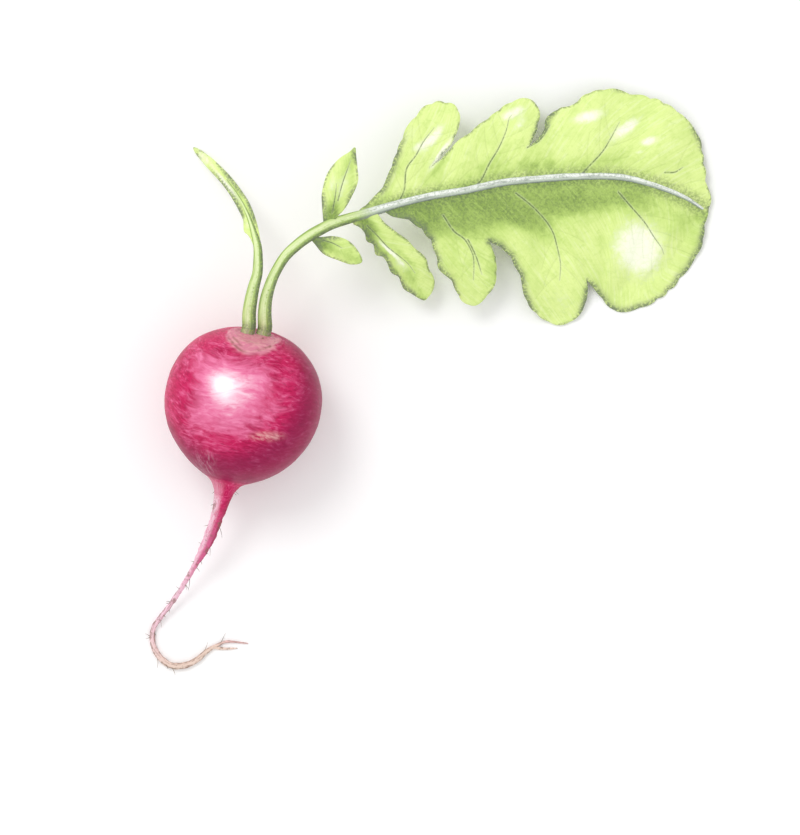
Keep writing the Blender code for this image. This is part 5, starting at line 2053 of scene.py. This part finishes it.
@dataclass
class NarrowLeaf:
    """The young leaf: a thin stalk that widens into a strap-shaped blade, its tip on the floor."""

    foot: Row = (1.25, 16.75)
    foot_radius: float = 1.56
    stalk: tuple[Row, ...] = (
        (1.5, 20.5, 22.6, 1.52), (1.95, 23.6, 23.6, 1.44), (2.6, 26.6, 24.1, 1.3), (3.4, 29.6, 24.1, 1.16),
        (3.55, 32.6, 23.3, 1.06), (3.4, 35.7, 21.9, 0.92),
    )
    midrib: tuple[Row, ...] = (
        (2.6, 38.7, 20, 0.72), (1.6, 41.7, 17.6, 0.5), (0.3, 44.7, 14.8, 0.4), (-1.5, 47.7, 11.6, 0.34),
        (-3.8, 50.8, 8, 0.3), (-6.3, 53.5, 4.6, 0.26), (-8.7, 55.9, 1.4, 0.24), (-11.7, 58.7, -1.6, 0.22),
    )
    half_widths: tuple[Row, ...] = (
        (0, 0.7), (0.1, 1.05), (0.22, 1.27), (0.36, 1.4), (0.5, 1.28), (0.66, 1.2), (0.8, 1.1),
        (0.92, 0.75), (1, 0.1),
    )
    lobe: Row = (0.16, 0.05, 0.8)
    blade_steps: int = 26
    rib_rows: int = 5
    edge_step: float = 0.4
    stalk_step: float = 0.5
    # The least height of the stalk's middle, as a share of its radius.
    stalk_clear: float = 0.9
    # Patches of painted highlight, painted shade and painted shade along the margin.
    gleams: tuple[Row, ...] = (
        (-9.4, 56.4, 3.4, 2, 135, 0.5), (-3.4, 49.4, 5.5, 0.5, 128, 0.9),
        (1.2, 40.6, 1.2, 0.9, 90, 0.5),
    )
    shades: tuple[Row, ...] = ((-0.6, 46.9, 6, 0.8, 125, 0.35), (-10, 57, 4.6, 2.4, 135, -0.9))
    margin_shades: tuple[Row, ...] = (
        (-2.2, 50.4, 5.5, 1, 128, 0.8), (-4.4, 49.6, 6, 0.9, 128, 0.65),
        (2.2, 43.6, 4, 0.8, 105, 0.8), (-0.6, 44, 3.4, 0.7, 110, 0.7),
    )

    def edge(self) -> list[Row]:
        """Gives the strap's edge in plan.

        Returns:
            Its points, up one side and down the other.
        """
        middle = smooth_run([row[:2] for row in (self.stalk[-1], *self.midrib)], self.edge_step)
        lobe_at, lobe_reach, lobe_width = self.lobe
        left, right = [], []
        for index in range(self.blade_steps + 1):
            share = index / self.blade_steps
            at = min(int(share * (len(middle) - 1)), len(middle) - 2)
            ahead = unit(middle[at + 1] - middle[at])
            out = np.array((-ahead[1], ahead[0]))
            width = float(np.interp(share, *zip(*self.half_widths)))
            bulge = lobe_width * math.exp(-(((share - lobe_at) / lobe_reach) ** 2))
            left.append(tuple(middle[at] + out * (width + bulge)))
            right.append(tuple(middle[at] - out * width))
        return left + right[::-1]

    def build(self) -> None:
        """Builds the leaf."""
        leaf = LeafBlade(name="young_leaf_blade").material()
        blade = Blade(
            (self.edge(),),
            Bend((self.stalk[-1], *self.midrib), 0.0, 0.0),
            shade_above=1.0,
            shade_below=1.4,
            shade_most=(0.1, 0.14),
            rib_shade_most=0.0,
            grid=0.3,
            crinkle=0.08,
            gleams=self.gleams,
            shades=self.shades,
            margin_shades=self.margin_shades,
        )
        mesh = new_mesh("young_blade", blade.shell())
        place_piece("young_blade", mesh, leaf, "narrow_leaf")
        green = LeafStalk(name="young_stalk").material()
        foot = stalk_foot(self.foot, self.foot_radius)
        rows = smooth_run(foot + list(self.stalk + self.midrib[: self.rib_rows]), self.stalk_step)
        silver = -fade(running_length(rows[:, :3]), *FOOT_FADE)
        rows[:, 2] = np.maximum(rows[:, 2], rows[:, 3] * self.stalk_clear)
        mesh = RibbedSweep().sweep("young_stalk", [rows], [silver], green)
        place_piece("young_stalk", mesh, green)


# The studio


@dataclass
class Studio:
    """Pale floor, soft light and the camera straight above."""

    floor_size: float = 3.0
    floor_colour: str = "#FFFFFF"
    # The paper's tooth: its size, and its strength and depth as relief.
    tooth_size: float = 0.6
    tooth_relief: Row = (0.15, 0.03)
    world_strength: float = 0.93
    key_way: Row = (-0.32, 0.44, 0.84)
    key_distance: float = 1.5
    key_size: float = 0.6
    key_power: float = 5.4
    camera_place: Row = (0.03545, -0.00282, 2.1)
    lens: float = 398.7
    sensor: float = 36.0

    def floor(self) -> None:
        """Lays the floor."""
        half = self.floor_size / 2
        mesh = bpy.data.meshes.new("floor")
        corners = [(-half, -half, 0), (half, -half, 0), (half, half, 0), (-half, half, 0)]
        mesh.from_pydata(corners, [], [(0, 1, 2, 3)])
        material, tree, shader = new_material("matt_paper")
        place = add_node(tree, "ShaderNodeTexCoord").outputs["Object"]
        values = {"Scale": per_metre(self.tooth_size), "Detail": 3.0}
        tooth = add_node(tree, "ShaderNodeTexNoise", values, {"Vector": place})
        shader.inputs["Base Color"].default_value = linear(self.floor_colour)
        dress(tree, shader, tooth, self.tooth_relief, {"Roughness": 1.0, "Specular IOR Level": 0.0})
        mesh.materials.append(material)
        floor = bpy.data.objects.new("floor", mesh)
        bpy.context.scene.collection.objects.link(floor)

    def light(self) -> None:
        """Sets the sky and the key light."""
        world = bpy.data.worlds.new("studio")
        world.use_nodes = True
        sky = world.node_tree.nodes["Background"]
        sky.inputs["Color"].default_value = (1.0, 1.0, 1.0, 1.0)
        sky.inputs["Strength"].default_value = self.world_strength
        bpy.context.scene.world = world
        lamp = bpy.data.lights.new("key", "AREA")
        lamp.shape = "DISK"
        lamp.size = self.key_size
        lamp.energy = self.key_power
        key = bpy.data.objects.new("key", lamp)
        way = Vector(self.key_way).normalized()
        key.location = way * self.key_distance
        key.rotation_mode = "QUATERNION"
        key.rotation_quaternion = way.to_track_quat("Z", "Y")
        bpy.context.scene.collection.objects.link(key)
        bpy.context.scene.view_settings.view_transform = "Standard"

    def camera(self) -> None:
        """Hangs the camera over the part, looking straight down."""
        data = bpy.data.cameras.new("camera")
        data.sensor_width = self.sensor
        data.sensor_fit = "AUTO"
        data.lens = self.lens
        camera = bpy.data.objects.new("camera", data)
        camera.location = self.camera_place
        bpy.context.scene.collection.objects.link(camera)
        bpy.context.scene.camera = camera

    def build(self) -> None:
        """Builds the studio."""
        self.floor()
        self.light()
        self.camera()


def main() -> None:
    """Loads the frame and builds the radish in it."""
    logging.basicConfig(level=logging.INFO, format="%(name)s: %(message)s")
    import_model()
    Studio().build()
    SwollenRoot().build()
    LobedLeaf().build()
    NarrowLeaf().build()


if __name__ == "__main__":
    main()
